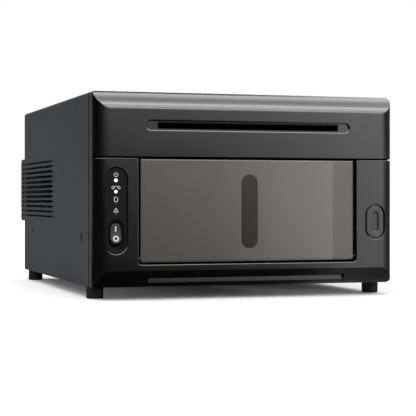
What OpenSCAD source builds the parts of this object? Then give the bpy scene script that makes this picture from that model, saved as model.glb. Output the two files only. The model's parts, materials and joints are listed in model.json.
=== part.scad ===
// Compact roll-fed photo printer with a drop-down front door.
// Millimetres. X runs left to right, Y from front to back, Z up from the table.
// The origin is on the table, under the middle of the case.

/* [Case] */
// Width across the steel cover
case_w = 275; // [268:1:290]
// Depth from the front face to the back of the rear cowl
overall_d = 366; // [362:1:384]
// Height of the case above its feet
case_h = 167.5; // [165:0.5:175]
// Thickness of the cover sheet
sheet = 1.2; // [1:0.1:1.5]
// Outer radius of the cover's bends
bend_r = 3; // [2:0.5:4]
// How far the rear cowl stands out behind the cover
cowl_d = 22; // [18:1:24]
// Height of the rear cowl
cowl_h = 66; // [65:1:72]
// Height of the cowl's middle above the case floor
cowl_mid_h = 85.3; // [82:0.5:88]
// Radius of the cowl's corners
cowl_r = 5; // [2:0.5:8]
// Wall of the rear cowl
cowl_t = 2; // [1.5:0.1:2.6]
// Distance of the shallow groove behind the front edge of the cover
groove_back = 6.6; // [5:0.2:9]
// Width of that groove
groove_w = 1.2; // [0.8:0.1:1.6]
// Depth of that groove
groove_deep = 0.5; // [0.3:0.05:0.6]

/* [Feet] */
// Height of each foot
foot_h = 10.5; // [9:0.5:13]
// Radius of each foot
foot_r = 7.4; // [6.5:0.1:7.8]
// Distance of a foot's axis from the side of the case
foot_inset = 8; // [7.9:0.1:10]
// Distance of the front feet's axes behind the front face
front_foot_d = 37; // [32:1:44]
// Distance of the rear feet's axes in front of the cover's rear edge
rear_foot_in = 22; // [14:1:32]

/* [Louvres] */
// Number of slots in each side
louvres = 12; // [6:1:12]
// Distance from one slot to the next
louvre_pitch = 4.92; // [4.6:0.02:5.1]
// Height of the narrowest slot
louvre_min_h = 1.2; // [0.8:0.1:1.6]
// How much taller the tallest slot is
louvre_swell = 1.2; // [0.4:0.1:1.6]
// Where the slots start, behind the front face
louvre_start_d = 183; // [170:1:200]
// Distance of the slots' ends from the back of the cowl
louvre_end_gap = 8.5; // [6:0.5:14]
// Length of each slot's pointed tip
louvre_tip = 16; // [8:1:22]

/* [Front shell] */
// Depth of the front shell
bezel_d = 16; // [15:0.5:18]
// Wall of the front shell
wall = 2.5; // [2.2:0.1:2.8]
// Radius of the front shell's upright edges
corner_r = 13; // [10:0.5:13.5]
// Height of the bevel along the top
top_bevel_h = 15.6; // [12:0.2:18]
// Height of the bevel along the bottom
low_bevel_h = 14; // [10:0.5:15]
// Depth of the bevel along the bottom
low_bevel_d = 14; // [10:0.5:14.5]
// How far each bevel's arc turns, in degrees
bevel_sweep = 45; // [30:1:60]
// Height of the seam above the case floor
seam_h = 111.8; // [110:0.2:114]
// Gap at the seam between the upper and the lower shell
seam_gap = 1.2; // [0.8:0.1:1.6]
// Gap between the front shell and the cover
shell_gap = 0.3; // [0.2:0.05:0.5]
// Bevel around each opening of the front shell
lip = 0.9; // [0.5:0.1:1.2]
// Half width of the finger scoop under the front
scoop_half_w = 90; // [70:1:100]
// Height of the finger scoop
scoop_h = 9; // [6:0.5:10]
// Depth of the finger scoop
scoop_d = 8.5; // [6:0.5:10]

/* [Exit slot] */
// Length of the slot's sunk rim
slot_w = 186; // [176:1:196]
// Height of the sunk rim
slot_h = 8; // [7.6:0.2:9]
// Depth of the sunk rim
slot_sink = 1.6; // [1:0.1:1.9]
// Length of the open mouth
mouth_w = 166; // [160:1:170]
// Height of the open mouth
mouth_h = 6.4; // [6:0.1:7]
// Height of the slot above the case floor
slot_mid_h = 138; // [136:0.5:141]

/* [Front door] */
// Distance of the door's sides from the sides of the case
door_side = 39.7; // [38:0.1:42.5]
// Height of the door
door_h = 89; // [87:0.5:90]
// Gap around the door
door_gap = 1.9; // [1.5:0.1:2.3]
// How far the door's face lies behind the front face
door_sink = 1.8; // [1.2:0.1:2.2]
// Thickness of the door's face plate
door_face_t = 2.4; // [2:0.1:2.8]
// Thickness of the door's inner frame
door_frame_t = 5.6; // [5:0.1:6]
// Radius of the door's lower corners
door_corner_r = 2.5; // [1.5:0.1:3]
// Gap between the door and the top of the opening
door_top_gap = 0.6; // [0.4:0.1:0.8]
// Distance of the hinge axis from the door's face and its lower edge
hinge_in = 3; // [2.8:0.1:3.4]
// Radius of the hinge pins
hinge_pin_r = 1.5; // [1.2:0.1:1.6]
// Width of the door's window
window_w = 14.5; // [10:0.5:18]
// Height of the door's window
window_h = 64; // [50:1:66]
// Height of the window's middle above the case floor
window_mid_h = 64.5; // [62:0.5:66]

/* [Control panel] */
// Distance of the panel's middle from the left side of the case
panel_in = 18.1; // [18:0.1:19]
// Width of the panel's recess
panel_w = 19.1; // [18:0.1:20]
// Height of the panel's recess
panel_h = 73; // [70:0.5:76]
// Height of the panel's middle above the case floor
panel_mid_h = 65.4; // [63:0.2:67]
// Depth of the panel's face behind the front face
panel_sink = 1.3; // [1:0.1:1.5]
// Thickness of the panel
panel_t = 1.9; // [1.7:0.1:2]
// Thickness of the flange behind the panel
flange_t = 1.6; // [1.4:0.1:1.8]
// Distance of the highest lamp below the top of the panel
lamp_in = 10.7; // [10:0.1:12]
// Distance from the top of the rocker's well to the lowest lamp
lamp_clear = 4.65; // [4.4:0.05:5.5]
// Radius of each lamp
lamp_r = 1.5; // [1.2:0.1:1.8]
// Width of the well around the rocker
well_w = 14; // [13:0.2:14.4]
// Height of the well around the rocker
well_h = 26.3; // [24:0.1:27]
// Width of the rocker
rocker_w = 9.3; // [8.6:0.1:9.8]
// Height of the rocker
rocker_h = 17.5; // [16:0.1:18]
// Height of the rocker's middle above the bottom of the panel
rocker_in = 16.5; // [16:0.1:17.2]
// How far the rocker tips each way, in degrees
rocker_tilt = 8; // [5:0.5:9]

/* [Door button] */
// Distance of the button's middle from the right side of the case
button_in = 19; // [18.6:0.1:19.6]
// Width of the button
button_w = 16.4; // [15:0.1:17]
// Height of the button
button_h = 28.6; // [26:0.1:30]
// Gap around the button
button_gap = 1.2; // [0.8:0.1:1.4]
// Height of the button's middle above the case floor
button_mid_h = 55; // [53:0.2:57]
// How far the button travels
button_travel = 2.5; // [2:0.1:2.8]
// Width of the button's thumb groove
thumb_w = 6.1; // [5:0.1:7]
// Height of the button's thumb groove
thumb_h = 18.4; // [16:0.1:20]
// Depth of the button's thumb groove
thumb_deep = 2.4; // [1.5:0.1:2.6]

/* [Chassis] */
// Space between the cover and each side frame
side_bay = 17.8; // [17.8:0.1:19]
// Thickness of the frame sheets
frame_t = 1.5; // [1.2:0.1:1.8]
// Height of the paper path at the platen, above the case floor
nip_h = 108.5; // [107:0.5:109]
// Distance of the platen behind the front face
platen_d = 105; // [103:0.5:107]
// Radius of the platen roller
platen_r = 10; // [9:0.5:11]
// Distance of the grip roller behind the front face
grip_d = 160; // [158:1:162]
// Radius of the grip roller
grip_r = 6; // [5.5:0.1:6.2]
// Distance of the exit rollers behind the front face
exit_d = 30; // [29:0.5:31]
// Radius of the exit rollers' tyres
exit_r = 5; // [4.5:0.1:5.2]
// Distance of the cutter behind the front face
cutter_d = 64; // [63:0.5:66]
// Travel of the cutter each way
cutter_travel = 85; // [80:1:88]
// Running clearance between a shaft and its bush
run_gap = 0.06; // [0.04:0.01:0.08]

/* [Paper roll] */
// Width of the paper
paper_w = 152; // [127:1:154]
// How far the flanges stand out past the full roll
roll_rim = 3; // [2:0.5:3.5]
// Gap between the flanges and the base pan
roll_lift = 4.3; // [3:0.1:6]
// Gap between the flanges and the power supply
roll_gap = 2.8; // [2.4:0.1:4]

/* [Ribbon] */
// Width of the ribbon film
film_w = 154; // [130:1:158]
// Radius of the full supply spool
supply_r = 21; // [16:0.5:21.5]
// Radius of the take-up spool
takeup_r = 14; // [11:0.5:20]
// Distance of the take-up spool behind the front face
takeup_d = 62; // [60:0.5:63]
// Distance of the supply spool behind the front face
supply_d = 148; // [147:0.5:150]
// Height of both spools above the case floor
spool_h = 71.5; // [70:0.5:73]

/* [Head lift] */
// How far the head rises to the platen
head_lift = 2.6; // [2:0.1:2.8]
// Base radius of the lifting cams
cam_r = 12; // [11:0.5:13]
// Height of the cam shaft above the case floor
cam_h = 23.5; // [22:0.5:24.5]

/* [Fan] */
// Side of the square fan
fan_w = 60; // [50:1:60]
// Depth of the fan
fan_d = 20; // [15:1:22]

/* [Hidden] */
$fn = 64;
clear = 0.3;                  // seat clearance between separate pieces
over = 1;                     // how far a cut runs past a face
floor_z = foot_h;             // underside of the case
top_z = floor_z + case_h;
half_w = case_w / 2;
cover_in = half_w - sheet;    // inner face of the cover's sides
inner_w = cover_in - clear;   // half width of what fits inside the cover
cover_d = overall_d - cowl_d; // rear edge of the cover's top
rear_foot_d = cover_d - rear_foot_in;
shell_back = bezel_d + shell_gap;
tongue_in = sheet + clear;    // how far the shells' tongues stand in from the outside
tongue_d = shell_back + 6;
frame_out = cover_in - side_bay;
frame_in = frame_out - frame_t; // inner faces of the side frames
pan_top = floor_z + sheet;
seam_z = floor_z + seam_h;
low_top = seam_z - seam_gap / 2;
up_bottom = seam_z + seam_gap / 2;
slot_z = floor_z + slot_mid_h;
door_top = low_top - door_top_gap;
door_low = door_top - door_h;
door_w = case_w - 2 * door_side;
open_low = door_low - door_gap;
open_half = door_w / 2 + door_gap;
hinge_d = door_sink + hinge_in;
hinge_z = door_low + hinge_in;
door_back = door_sink + door_face_t + door_frame_t;
window_z = floor_z + window_mid_h;
panel_x = panel_in - half_w;
panel_z = floor_z + panel_mid_h;
panel_seat = panel_sink + panel_t;
panel_back = panel_seat + flange_t;
panel_top = panel_z + panel_h / 2;
panel_low = panel_z - panel_h / 2;
rocker_z = panel_low + rocker_in;
well_z = rocker_z - 0.6;
lamp_top = panel_top - lamp_in;
lamp_low = well_z + well_h / 2 + lamp_clear;
lamp_pitch = (lamp_top - lamp_low) / 3;
lamp_foot = lamp_r + 0.5;     // radius of each light pipe's foot
switch_top = lamp_low - lamp_foot - 0.2;
rocker_d = panel_back + 3.4;  // the rocker's pivot
button_x = half_w - button_in;
button_z = floor_z + button_mid_h;
button_face = 0.6;
button_back = 12;
crank_arm = 14.5;             // lever arm of the latch crank
crank_x = button_x - crank_arm;
crank_d = 28;
crank_t = 4;
cowl_z = floor_z + cowl_mid_h;
nip_z = floor_z + nip_h;
path_rise = (slot_z - nip_z) / platen_d;
web_t = 0.3;
web_gap = 0.25;
web_z = nip_z - 0.2 - web_t;  // underside of the ribbon below the platen
half_paper = 0.15;            // half the gap between rollers that meet
spool_z = floor_z + spool_h;
cam_z = floor_z + cam_h;
head_top = web_z - clear - head_lift;
carrier_z = cam_z + cam_r + clear;
guide_h = 6;                  // height of the carrier's cross bar
frame_front = 34;             // front edge of the frames beside the door
nose_front = 23;              // front edge of the frames above the door
frame_back = cover_d - 12;
frame_top = top_z - sheet - 4;
nose_z = up_bottom + 3;
shelf_z = top_z - 22;
rear_in = cover_d - sheet;    // inner face of the rear panel
supply_front = rear_in - 37;  // front of the power supply
cassette_back = supply_d + 24;
// The full roll fills the room below the paper path, or between the cassette and the power supply
roll_r = min((nip_z - pan_top - roll_lift - roll_rim) / 2,
    (supply_front - cassette_back) / 2 - roll_gap - roll_rim);
roll_flange = roll_r + roll_rim;
roll_d = supply_front - roll_gap - roll_flange;
roll_z = pan_top + roll_lift + roll_flange;
screw_z = floor_z + 41.5;     // height of the cover's side screws
screw_ds = [55.5, cover_d - 51];
dish_r = 4.65;
dish_deep = 2.4;
tab_x = half_w - dish_deep - sheet - clear; // outer faces of the pan's tabs
screw_r = 1.5;
roller_half = 79;
platen_z = nip_z + platen_r;
platen_shaft_r = 4;
grip_z = nip_z - half_paper - grip_r;
grip_shaft_r = 3;
pinch_r = 5;
pinch_z = nip_z + half_paper + pinch_r;
small_shaft_r = 2.5;
exit_z = path_z(exit_d) - half_paper - exit_r;
idler_r = 4;
idler_z = path_z(exit_d) + half_paper + idler_r;
tyre_xs = [-60, -24, 24, 60];
chute_half = 84;
chute_t = 2;
grip_teeth = 56;
pinion_teeth = 14;
motor_d = grip_d + (grip_teeth + pinion_teeth) / 2;
takeup_teeth = 40;
ribbon_teeth = 12;
ribbon_motor_d = takeup_d + (takeup_teeth + ribbon_teeth) / 2;
pulley_r = 9;
exit_pulley_r = pulley_r * exit_r / grip_r;
belt_t = 1.4;
belt_x = frame_out + 2.5;
belt_w = 5;
gear_x = belt_x + belt_w + 2.5;
gear_w = 4;
cassette_x = film_w / 2 + 5;
cassette_t = 2.5;
ribbon_motor_x = cassette_x + cassette_t + 10.5; // inner end of the ribbon motor
ledge_z = carrier_z + guide_h + head_lift + 0.6 + frame_t;
runner_h = 4;
bar_r = 1.5;                  // the ribbon's guide bars
bar_z = web_z - web_gap - bar_r;
bar_ds = [platen_d - 19, platen_d + 19];
core_r = 25;
roll_bracket_x = paper_w / 2 + 7;
rail_d = cutter_d + 9;
rail_z = path_z(cutter_d) + 16;
rail_r = 4;
carriage_half = 14;
fan_x = half_w - 79.5;
inlet_x = 49.5 - half_w;
inlet_z = floor_z + 26;
usb_x = 89.5 - half_w;
board_z = shelf_z + frame_t + 6;
board_x = frame_in - 22;
board_front = platen_d + 5;
board_back = frame_back - 32;
shelf_front = platen_d - 15;

// Height of the paper path at distance d behind the front face
function path_z(d) = nip_z + path_rise * (platen_d - d);

// Corners of one gear tooth, counted from its middle
function tooth(teeth, k) = [
    for (p = [[-0.31, -1.2], [-0.22, 0], [-0.1, 0.85], [0.1, 0.85], [0.22, 0], [0.31, -1.2]])
        (teeth / 2 + p[1]) * [cos((k + p[0]) * 360 / teeth), sin((k + p[0]) * 360 / teeth)]];

// Radius of a lifting cam, a degrees back from its lowest point
function cam_at(a) = cam_r + head_lift * (a <= 180 ? a / 180 : a < 300 ? (300 - a) / 120 : 0);

module from_front() {
    translate([0, -overall_d / 2, 0]) children();
}

module block(x0, x1, y0, y1, z0, z1) {
    translate([x0, y0, z0]) cube([x1 - x0, y1 - y0, z1 - z0]);
}

module rod_x(x0, x1, y, z, r) {
    translate([x0, y, z]) rotate([0, 90, 0]) cylinder(r = r, h = x1 - x0);
}

module rod_y(x, y0, y1, z, r) {
    translate([x, y0, z]) rotate([-90, 0, 0]) cylinder(r = r, h = y1 - y0);
}

module rod_z(x, y, z0, z1, r) {
    translate([x, y, z0]) cylinder(r = r, h = z1 - z0);
}

// An outline in depth and height, drawn out across the case
module plate_x(x0, x1) {
    translate([x0, 0, 0]) rotate([90, 0, 90]) linear_extrude(x1 - x0) children();
}

// An outline in width and height, drawn out from front to back
module plate_y(y0, y1) {
    translate([0, y1, 0]) rotate([90, 0, 0]) linear_extrude(y1 - y0) children();
}

module both_sides() {
    children();
    mirror([1, 0, 0]) children();
}

module stadium(w, h) {
    r = min(w, h) / 2;
    translate([-w / 2, r - h / 2]) square([w, max(h - 2 * r, 0.001)]);
    if (w < h) {
        translate([0, h / 2 - r]) circle(r);
        translate([0, r - h / 2]) circle(r);
    }
    if (w > h) {
        translate([w / 2 - r, 0]) circle(r);
        translate([r - w / 2, 0]) circle(r);
    }
}

module stadium_y(x, z, w, h, y0, y1) {
    translate([x, 0, z]) plate_y(y0, y1) stadium(w, h);
}

// A wide stadium: its straight part runs across
module slot_y(x, z, w, h, y0, y1) {
    block(x - w / 2 + h / 2, x + w / 2 - h / 2, y0, y1, z - h / 2, z + h / 2);
    for (s = [-1, 1]) {
        rod_y(x + s * (w - h) / 2, y0, y1, z, h / 2);
    }
}

module round_rect(x0, x1, y0, y1, r) {
    translate([x0 + r, y0]) square([x1 - x0 - 2 * r, y1 - y0]);
    translate([x0, y0 + r]) square([x1 - x0, y1 - y0 - 2 * r]);
    for (x = [x0 + r, x1 - r]) {
        for (y = [y0 + r, y1 - r]) {
            translate([x, y]) circle(r);
        }
    }
}

// The corner that a bevel takes off, w deep and h high, with a slightly domed face
module bevel_corner(w, h, inset) {
    chord = sqrt(w * w + h * h);
    r = chord / 2 / sin(bevel_sweep / 2);
    reach = r * cos(bevel_sweep / 2);
    mid = [w / 2, -h / 2];
    centre = mid + reach * [h, -w] / chord;
    difference() {
        translate([-over, -h]) square([w + over, h + over]);
        translate(centre) circle(r - inset, $fn = 180);
    }
}

// The outside of both front shells, drawn in by inset
module front_block(inset, y1) {
    intersection() {
        plate_x(-half_w + inset, half_w - inset) difference() {
            translate([inset, floor_z + inset]) square([y1 - inset, top_z - floor_z - 2 * inset]);
            translate([0, top_z]) bevel_corner(bezel_d, top_bevel_h, inset);
            translate([0, floor_z]) mirror([0, 1]) bevel_corner(low_bevel_d, low_bevel_h, inset);
        }
        plate_y(0, y1) round_rect(-half_w + inset, half_w - inset, floor_z + inset, top_z - inset,
            bend_r);
        linear_extrude(top_z) union() {
            translate([-half_w + corner_r, inset]) square([2 * (half_w - corner_r), y1 - inset]);
            translate([-half_w + inset, corner_r]) square([2 * (half_w - inset), y1 - corner_r]);
            for (s = [-1, 1]) {
                translate([s * (half_w - corner_r), corner_r]) circle(corner_r - inset);
            }
        }
    }
}

// The ring of the shells that slides inside the cover
module tongue(z0, z1) {
    intersection() {
        plate_y(bezel_d - over, tongue_d) difference() {
            round_rect(-half_w + tongue_in, half_w - tongue_in, floor_z + tongue_in,
                top_z - tongue_in, bend_r - sheet);
            round_rect(-half_w + wall, half_w - wall, floor_z + wall, top_z - wall, 1);
        }
        block(-half_w, half_w, 0, tongue_d + over, z0, z1);
    }
}

module shell_part(z0, z1) {
    difference() {
        intersection() {
            front_block(0, bezel_d);
            block(-half_w, half_w, 0, bezel_d, z0, z1);
        }
        front_block(wall, bezel_d + over);
    }
    tongue(z0, z1);
}

module gear(teeth, x0, x1, d, z, turn) {
    translate([0, d, z]) rotate([turn, 0, 0]) plate_x(x0, x1) polygon([
        for (k = [0:teeth - 1]) for (p = tooth(teeth, k)) p]);
}

module roller(d, z, r, half, shaft_r, shaft_half) {
    rod_x(-half, half, d, z, r);
    rod_x(-shaft_half, shaft_half, d, z, shaft_r);
}

module vent_slots(x0, d0, columns, rows, pitch_x, pitch_d, long, wide, z0, z1) {
    for (i = [0:columns - 1]) {
        for (j = [0:rows - 1]) {
            translate([x0 + i * pitch_x, d0 + j * pitch_d, z0]) linear_extrude(z1 - z0)
                stadium(wide, long);
        }
    }
}

module base_pan() {
    color("#8f9498") from_front() {
        difference() {
            block(-inner_w, inner_w, shell_back, rear_in - clear, floor_z, pan_top);
            vent_slots(-70, cover_d - 154, 9, 3, 17.5, 40, 26, 4, floor_z - over, pan_top + over);
        }
        difference() {
            block(-inner_w, inner_w, rear_in - clear - sheet, rear_in - clear, pan_top, pan_top + 10);
            both_sides() rod_y(inner_w - 8, rear_in - 4, rear_in, pan_top + 6, screw_r);
        }
        both_sides() {
            for (d = screw_ds) {
                difference() {
                    block(tab_x - sheet, tab_x, d - 15, d + 15, pan_top, screw_z + 10);
                    rod_x(tab_x - 2 * sheet, tab_x + over, d, screw_z, screw_r);
                }
            }
            block(frame_in - 12, frame_in, frame_front + 4, frame_front + 28, pan_top, pan_top + 1.5);
            block(frame_in - 12, frame_in, frame_back - 28, frame_back - 4, pan_top, pan_top + 1.5);
        }
    }
}

module louvre(long, h) {
    polygon([[0, 0], [louvre_tip, h / 2], [long, h / 2], [long, -h / 2], [louvre_tip, -h / 2]]);
}

module louvre_cuts() {
    long = overall_d - louvre_end_gap - louvre_start_d;
    for (i = [0:louvres - 1]) {
        h = louvre_min_h + louvre_swell * sin(180 * i / (louvres - 1));
        translate([louvre_start_d, cowl_z + (i - (louvres - 1) / 2) * louvre_pitch]) louvre(long, h);
    }
}

module ear_outline() {
    translate([cover_d - 12, cowl_z - cowl_h / 2]) square([cowl_d + 12 - cowl_r, cowl_h]);
    translate([cover_d - 12, cowl_z - cowl_h / 2 + cowl_r]) square([cowl_d + 12, cowl_h - 2 * cowl_r]);
    for (s = [-1, 1]) {
        translate([overall_d - cowl_r, cowl_z + s * (cowl_h / 2 - cowl_r)]) circle(cowl_r);
    }
}

module cover() {
    color("#3f454b") from_front() difference() {
        union() {
            plate_y(shell_back, cover_d) difference() {
                union() {
                    translate([-half_w, floor_z]) square([case_w, case_h - bend_r]);
                    translate([bend_r - half_w, floor_z]) square([case_w - 2 * bend_r, case_h]);
                    for (s = [-1, 1]) {
                        translate([s * (half_w - bend_r), top_z - bend_r]) circle(bend_r);
                    }
                }
                translate([-cover_in, floor_z - over]) square([2 * cover_in, case_h - bend_r + over]);
                translate([bend_r - half_w, floor_z - over])
                    square([case_w - 2 * bend_r, case_h - sheet + over]);
                for (s = [-1, 1]) {
                    translate([s * (half_w - bend_r), top_z - bend_r]) circle(bend_r - sheet);
                }
            }
            both_sides() {
                plate_x(cover_in, half_w) ear_outline();
                for (d = screw_ds) {
                    rod_x(half_w - dish_deep - sheet, half_w, d, screw_z, dish_r + sheet);
                }
            }
        }
        both_sides() {
            plate_x(cover_in - over, half_w + over) louvre_cuts();
            for (d = screw_ds) {
                rod_x(half_w - dish_deep, half_w + over, d, screw_z, dish_r);
                rod_x(half_w - 3 * dish_deep, half_w, d, screw_z, screw_r + clear);
            }
        }
        plate_y(shell_back + groove_back - groove_w, shell_back + groove_back) difference() {
            translate([-half_w - over, floor_z - over]) square([case_w + 2 * over, case_h + 2 * over]);
            translate([groove_deep - half_w, floor_z - over])
                square([case_w - 2 * groove_deep, case_h - bend_r + over]);
            translate([bend_r - half_w, floor_z - over])
                square([case_w - 2 * bend_r, case_h - groove_deep + over]);
            for (s = [-1, 1]) {
                translate([s * (half_w - bend_r), top_z - bend_r]) circle(bend_r - groove_deep);
            }
        }
    }
}

module rear_panel() {
    high = top_z - sheet - clear;
    low = cowl_z - cowl_h / 2 + 7;
    color("#454a50") from_front() difference() {
        block(-inner_w, inner_w, rear_in, cover_d, floor_z, high);
        both_sides() translate([inner_w - bend_r, 0, high - bend_r]) difference() {
            block(0, bend_r + over, rear_in - over, cover_d + over, 0, bend_r + over);
            rod_y(0, rear_in - 2 * over, cover_d + 2 * over, 0, bend_r);
        }
        rod_y(fan_x, rear_in - over, cover_d + over, cowl_z, fan_w / 2 - 2);
        block(27.5 - half_w, fan_x - fan_w / 2 - 12, rear_in - over, cover_d + over, low, low + cowl_h - 14);
        block(inlet_x - 13.7, inlet_x + 13.7, rear_in - over, cover_d + over, inlet_z - 10.3, inlet_z + 10.3);
        block(usb_x - 6, usb_x + 6, rear_in - over, cover_d + over, inlet_z - 5.5, inlet_z + 5.5);
        for (s = [-1, 1]) {
            rod_y(inlet_x + s * 20, rear_in - over, cover_d + over, inlet_z, screw_r);
            rod_y(s * (inner_w - 8), rear_in - over, cover_d + over, pan_top + 6, screw_r);
            rod_y(s * (inner_w - 8), rear_in - over, cover_d + over, top_z - 14, screw_r);
        }
        for (i = [0:11]) {
            stadium_y(10 + i * 9, floor_z + 26, 4, 26, rear_in - over, cover_d + over);
        }
    }
}

module rear_cowl() {
    color("#3a3f45") from_front() difference() {
        intersection() {
            plate_x(-inner_w, inner_w) ear_outline();
            block(-inner_w, inner_w, cover_d, overall_d, 0, top_z);
        }
        intersection() {
            plate_x(cowl_t - inner_w, inner_w - cowl_t) translate([-cowl_t, 0]) ear_outline();
            block(-inner_w, inner_w, cover_d - over, overall_d - cowl_t, cowl_z - cowl_h / 2 + cowl_t,
                cowl_z + cowl_h / 2 - cowl_t);
        }
        difference() {
            union() {
                for (i = [-6:6]) {
                    half = sqrt(pow(fan_w / 2 - 2, 2) - pow(i * 4.2, 2));
                    block(fan_x - half, fan_x + half, overall_d - cowl_t - over, overall_d + over,
                        cowl_z + i * 4.2 - 1.3, cowl_z + i * 4.2 + 1.3);
                }
            }
            rod_y(fan_x, overall_d - cowl_t - 2 * over, overall_d + 2 * over, cowl_z, 7);
            block(fan_x - 1, fan_x + 1, overall_d - cowl_t - 2 * over, overall_d + 2 * over,
                cowl_z - fan_w, cowl_z + fan_w);
        }
        for (i = [0:15]) {
            stadium_y(25.5 - half_w + i * 7.4, cowl_z, 3, 44, overall_d - cowl_t - over, overall_d + over);
        }
    }
}

// A slanted rim around a wide stadium, widest at the front face
module flare_y(w, h, rim) {
    half = (w - h) / 2;
    plate_x(-half, half) polygon([[-over, -h / 2 - rim - over], [rim, -h / 2], [rim, h / 2],
        [-over, h / 2 + rim + over]]);
    for (s = [-1, 1]) {
        translate([s * half, -over, 0]) rotate([-90, 0, 0])
            cylinder(r1 = h / 2 + rim + over, r2 = h / 2, h = rim + over);
    }
}

module exit_cut() {
    slot_y(0, slot_z, slot_w, slot_h, -over, slot_sink);
    slot_y(0, slot_z, mouth_w, mouth_h, -over, wall + 2 * over);
    translate([0, 0, slot_z]) flare_y(slot_w, slot_h, lip);
}

module upper_shell() {
    color("#16181a") from_front() {
        difference() {
            shell_part(up_bottom, top_z);
            exit_cut();
        }
        intersection() {
            front_block(wall - 0.5, bezel_d);
            difference() {
                block(-half_w, half_w, 0, bezel_d, up_bottom, up_bottom + wall);
                block(-frame_in + 8, frame_in - 8, 6, bezel_d + over, up_bottom - over, up_bottom + wall + over);
            }
        }
    }
}

module door_opening(grow, y0, y1) {
    block(-open_half - grow, open_half + grow, y0, y1, open_low - grow + door_corner_r, low_top + over);
    block(-open_half - grow + door_corner_r, open_half + grow - door_corner_r, y0, y1,
        open_low - grow, low_top + over);
    for (s = [-1, 1]) {
        rod_y(s * (open_half + grow - door_corner_r), y0, y1, open_low - grow + door_corner_r, door_corner_r);
    }
}

module scoop() {
    plate_x(-scoop_half_w, scoop_half_w) polygon([[-over, floor_z - over], [-over, floor_z + scoop_h],
        [scoop_d - 3, floor_z + scoop_h], [scoop_d, floor_z + scoop_h - 3], [scoop_d, floor_z - over]]);
}

module lower_shell() {
    color("#16181a") from_front() difference() {
        union() {
            shell_part(floor_z, low_top);
            intersection() {
                front_block(0.3, bezel_d);
                union() {
                    both_sides() block(open_half - 1, open_half + wall, 1, bezel_d - 2, floor_z, low_top);
                    block(-open_half, open_half, 1, bezel_d, open_low - wall, open_low + 1);
                    block(panel_x - 12, panel_x + 12, 0, panel_back, panel_z - panel_h / 2 - 4,
                        panel_z + panel_h / 2 + 4);
                    block(-scoop_half_w - wall, scoop_half_w + wall, 1, scoop_d + wall, floor_z,
                        floor_z + scoop_h + wall);
                    stadium_y(button_x, button_z, button_w + 2 * clear + 4, button_h + 2 * clear + 4, 1, 11);
                    both_sides() block(open_half, half_w, 1, bezel_d, low_top - wall, low_top);
                }
            }
        }
        door_opening(0, -over, bezel_d + over);
        scoop();
        stadium_y(panel_x, panel_z, panel_w, panel_h, -over, panel_seat + over);
        stadium_y(panel_x, panel_z, panel_w + 2, panel_h + 2, panel_seat, panel_seat + 4);
        stadium_y(button_x, button_z, button_w + 2 * button_gap, button_h + 2 * button_gap, -over, wall);
        stadium_y(button_x, button_z, button_w + 2 * clear, button_h + 2 * clear, 0, 12);
        rod_x(-open_half - wall - over, open_half + wall + over, hinge_d, hinge_z, hinge_pin_r + run_gap);
        block(open_half - over, open_half + wall + over, crank_d - 17, bezel_d, button_z - 5, button_z + 5);
    }
}

module frame_outline() {
    translate([frame_front, pan_top]) square([frame_back - frame_front, frame_top - pan_top]);
    translate([nose_front, nose_z]) square([frame_back - nose_front, frame_top - nose_z]);
}

// One side frame: all of its holes but those of its own motor
module side_frame() {
    difference() {
        union() {
            plate_x(frame_in, frame_out) frame_outline();
            block(cassette_x - 1, frame_in + 0.5, takeup_d - 24, supply_d + 24, ledge_z - frame_t, ledge_z);
            block(frame_in - 12, frame_in + 0.5, frame_front + 4, frame_front + 28,
                pan_top + 1.5, pan_top + 3);
            block(frame_in - 12, frame_in + 0.5, frame_back - 28, frame_back - 4, pan_top + 1.5, pan_top + 3);
            block(frame_in - 12, frame_in + 0.5, shelf_front, frame_back - 6, shelf_z - frame_t, shelf_z);
        }
        translate([frame_in - over, 0, 0]) {
            rod_x(0, 4, platen_d, platen_z, platen_shaft_r + run_gap);
            rod_x(0, 4, grip_d, grip_z, grip_shaft_r + run_gap);
            rod_x(0, 4, grip_d, pinch_z, small_shaft_r + run_gap);
            rod_x(0, 4, exit_d, exit_z, small_shaft_r + run_gap);
            rod_x(0, 4, platen_d, cam_z, small_shaft_r + run_gap);
        }
        plate_x(frame_in - over, frame_out + over) translate([platen_d, carrier_z + guide_h / 2
            + head_lift / 2]) stadium(6.4, 6.4 + head_lift + 0.6);
        plate_x(frame_in - over, frame_out + over) translate([roll_d + 28, 84])
            round_rect(-30, 30, -26, 20, 6);
    }
}

module left_frame() {
    color("#b9bec2") from_front() difference() {
        mirror([1, 0, 0]) side_frame();
        rod_x(-frame_out - over, -frame_in + over, motor_d, grip_z, 5);
    }
}

module right_frame() {
    color("#b9bec2") from_front() difference() {
        side_frame();
        rod_x(frame_in - over, frame_out + over, takeup_d, spool_z, grip_shaft_r + run_gap);
        rod_x(frame_in - over, frame_out + over, ribbon_motor_d, spool_z, 4);
    }
}

module top_shelf() {
    color("#aab0b4") from_front() difference() {
        block(-frame_in, frame_in, shelf_front, frame_back - 6, shelf_z, shelf_z + frame_t);
        for (x = [-80, -30, 20, 70]) {
            translate([x, shelf_front + 30, shelf_z - over]) linear_extrude(frame_t + 2 * over) stadium(30, 8);
        }
    }
}

module feet() {
    color("#1b1c1e") from_front() both_sides() {
        for (d = [front_foot_d, rear_foot_d]) {
            rod_z(half_w - foot_inset, d, 1.2, foot_h, foot_r);
            translate([half_w - foot_inset, d, 0]) cylinder(r1 = foot_r - 1, r2 = foot_r, h = 1.2);
        }
    }
}

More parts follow.
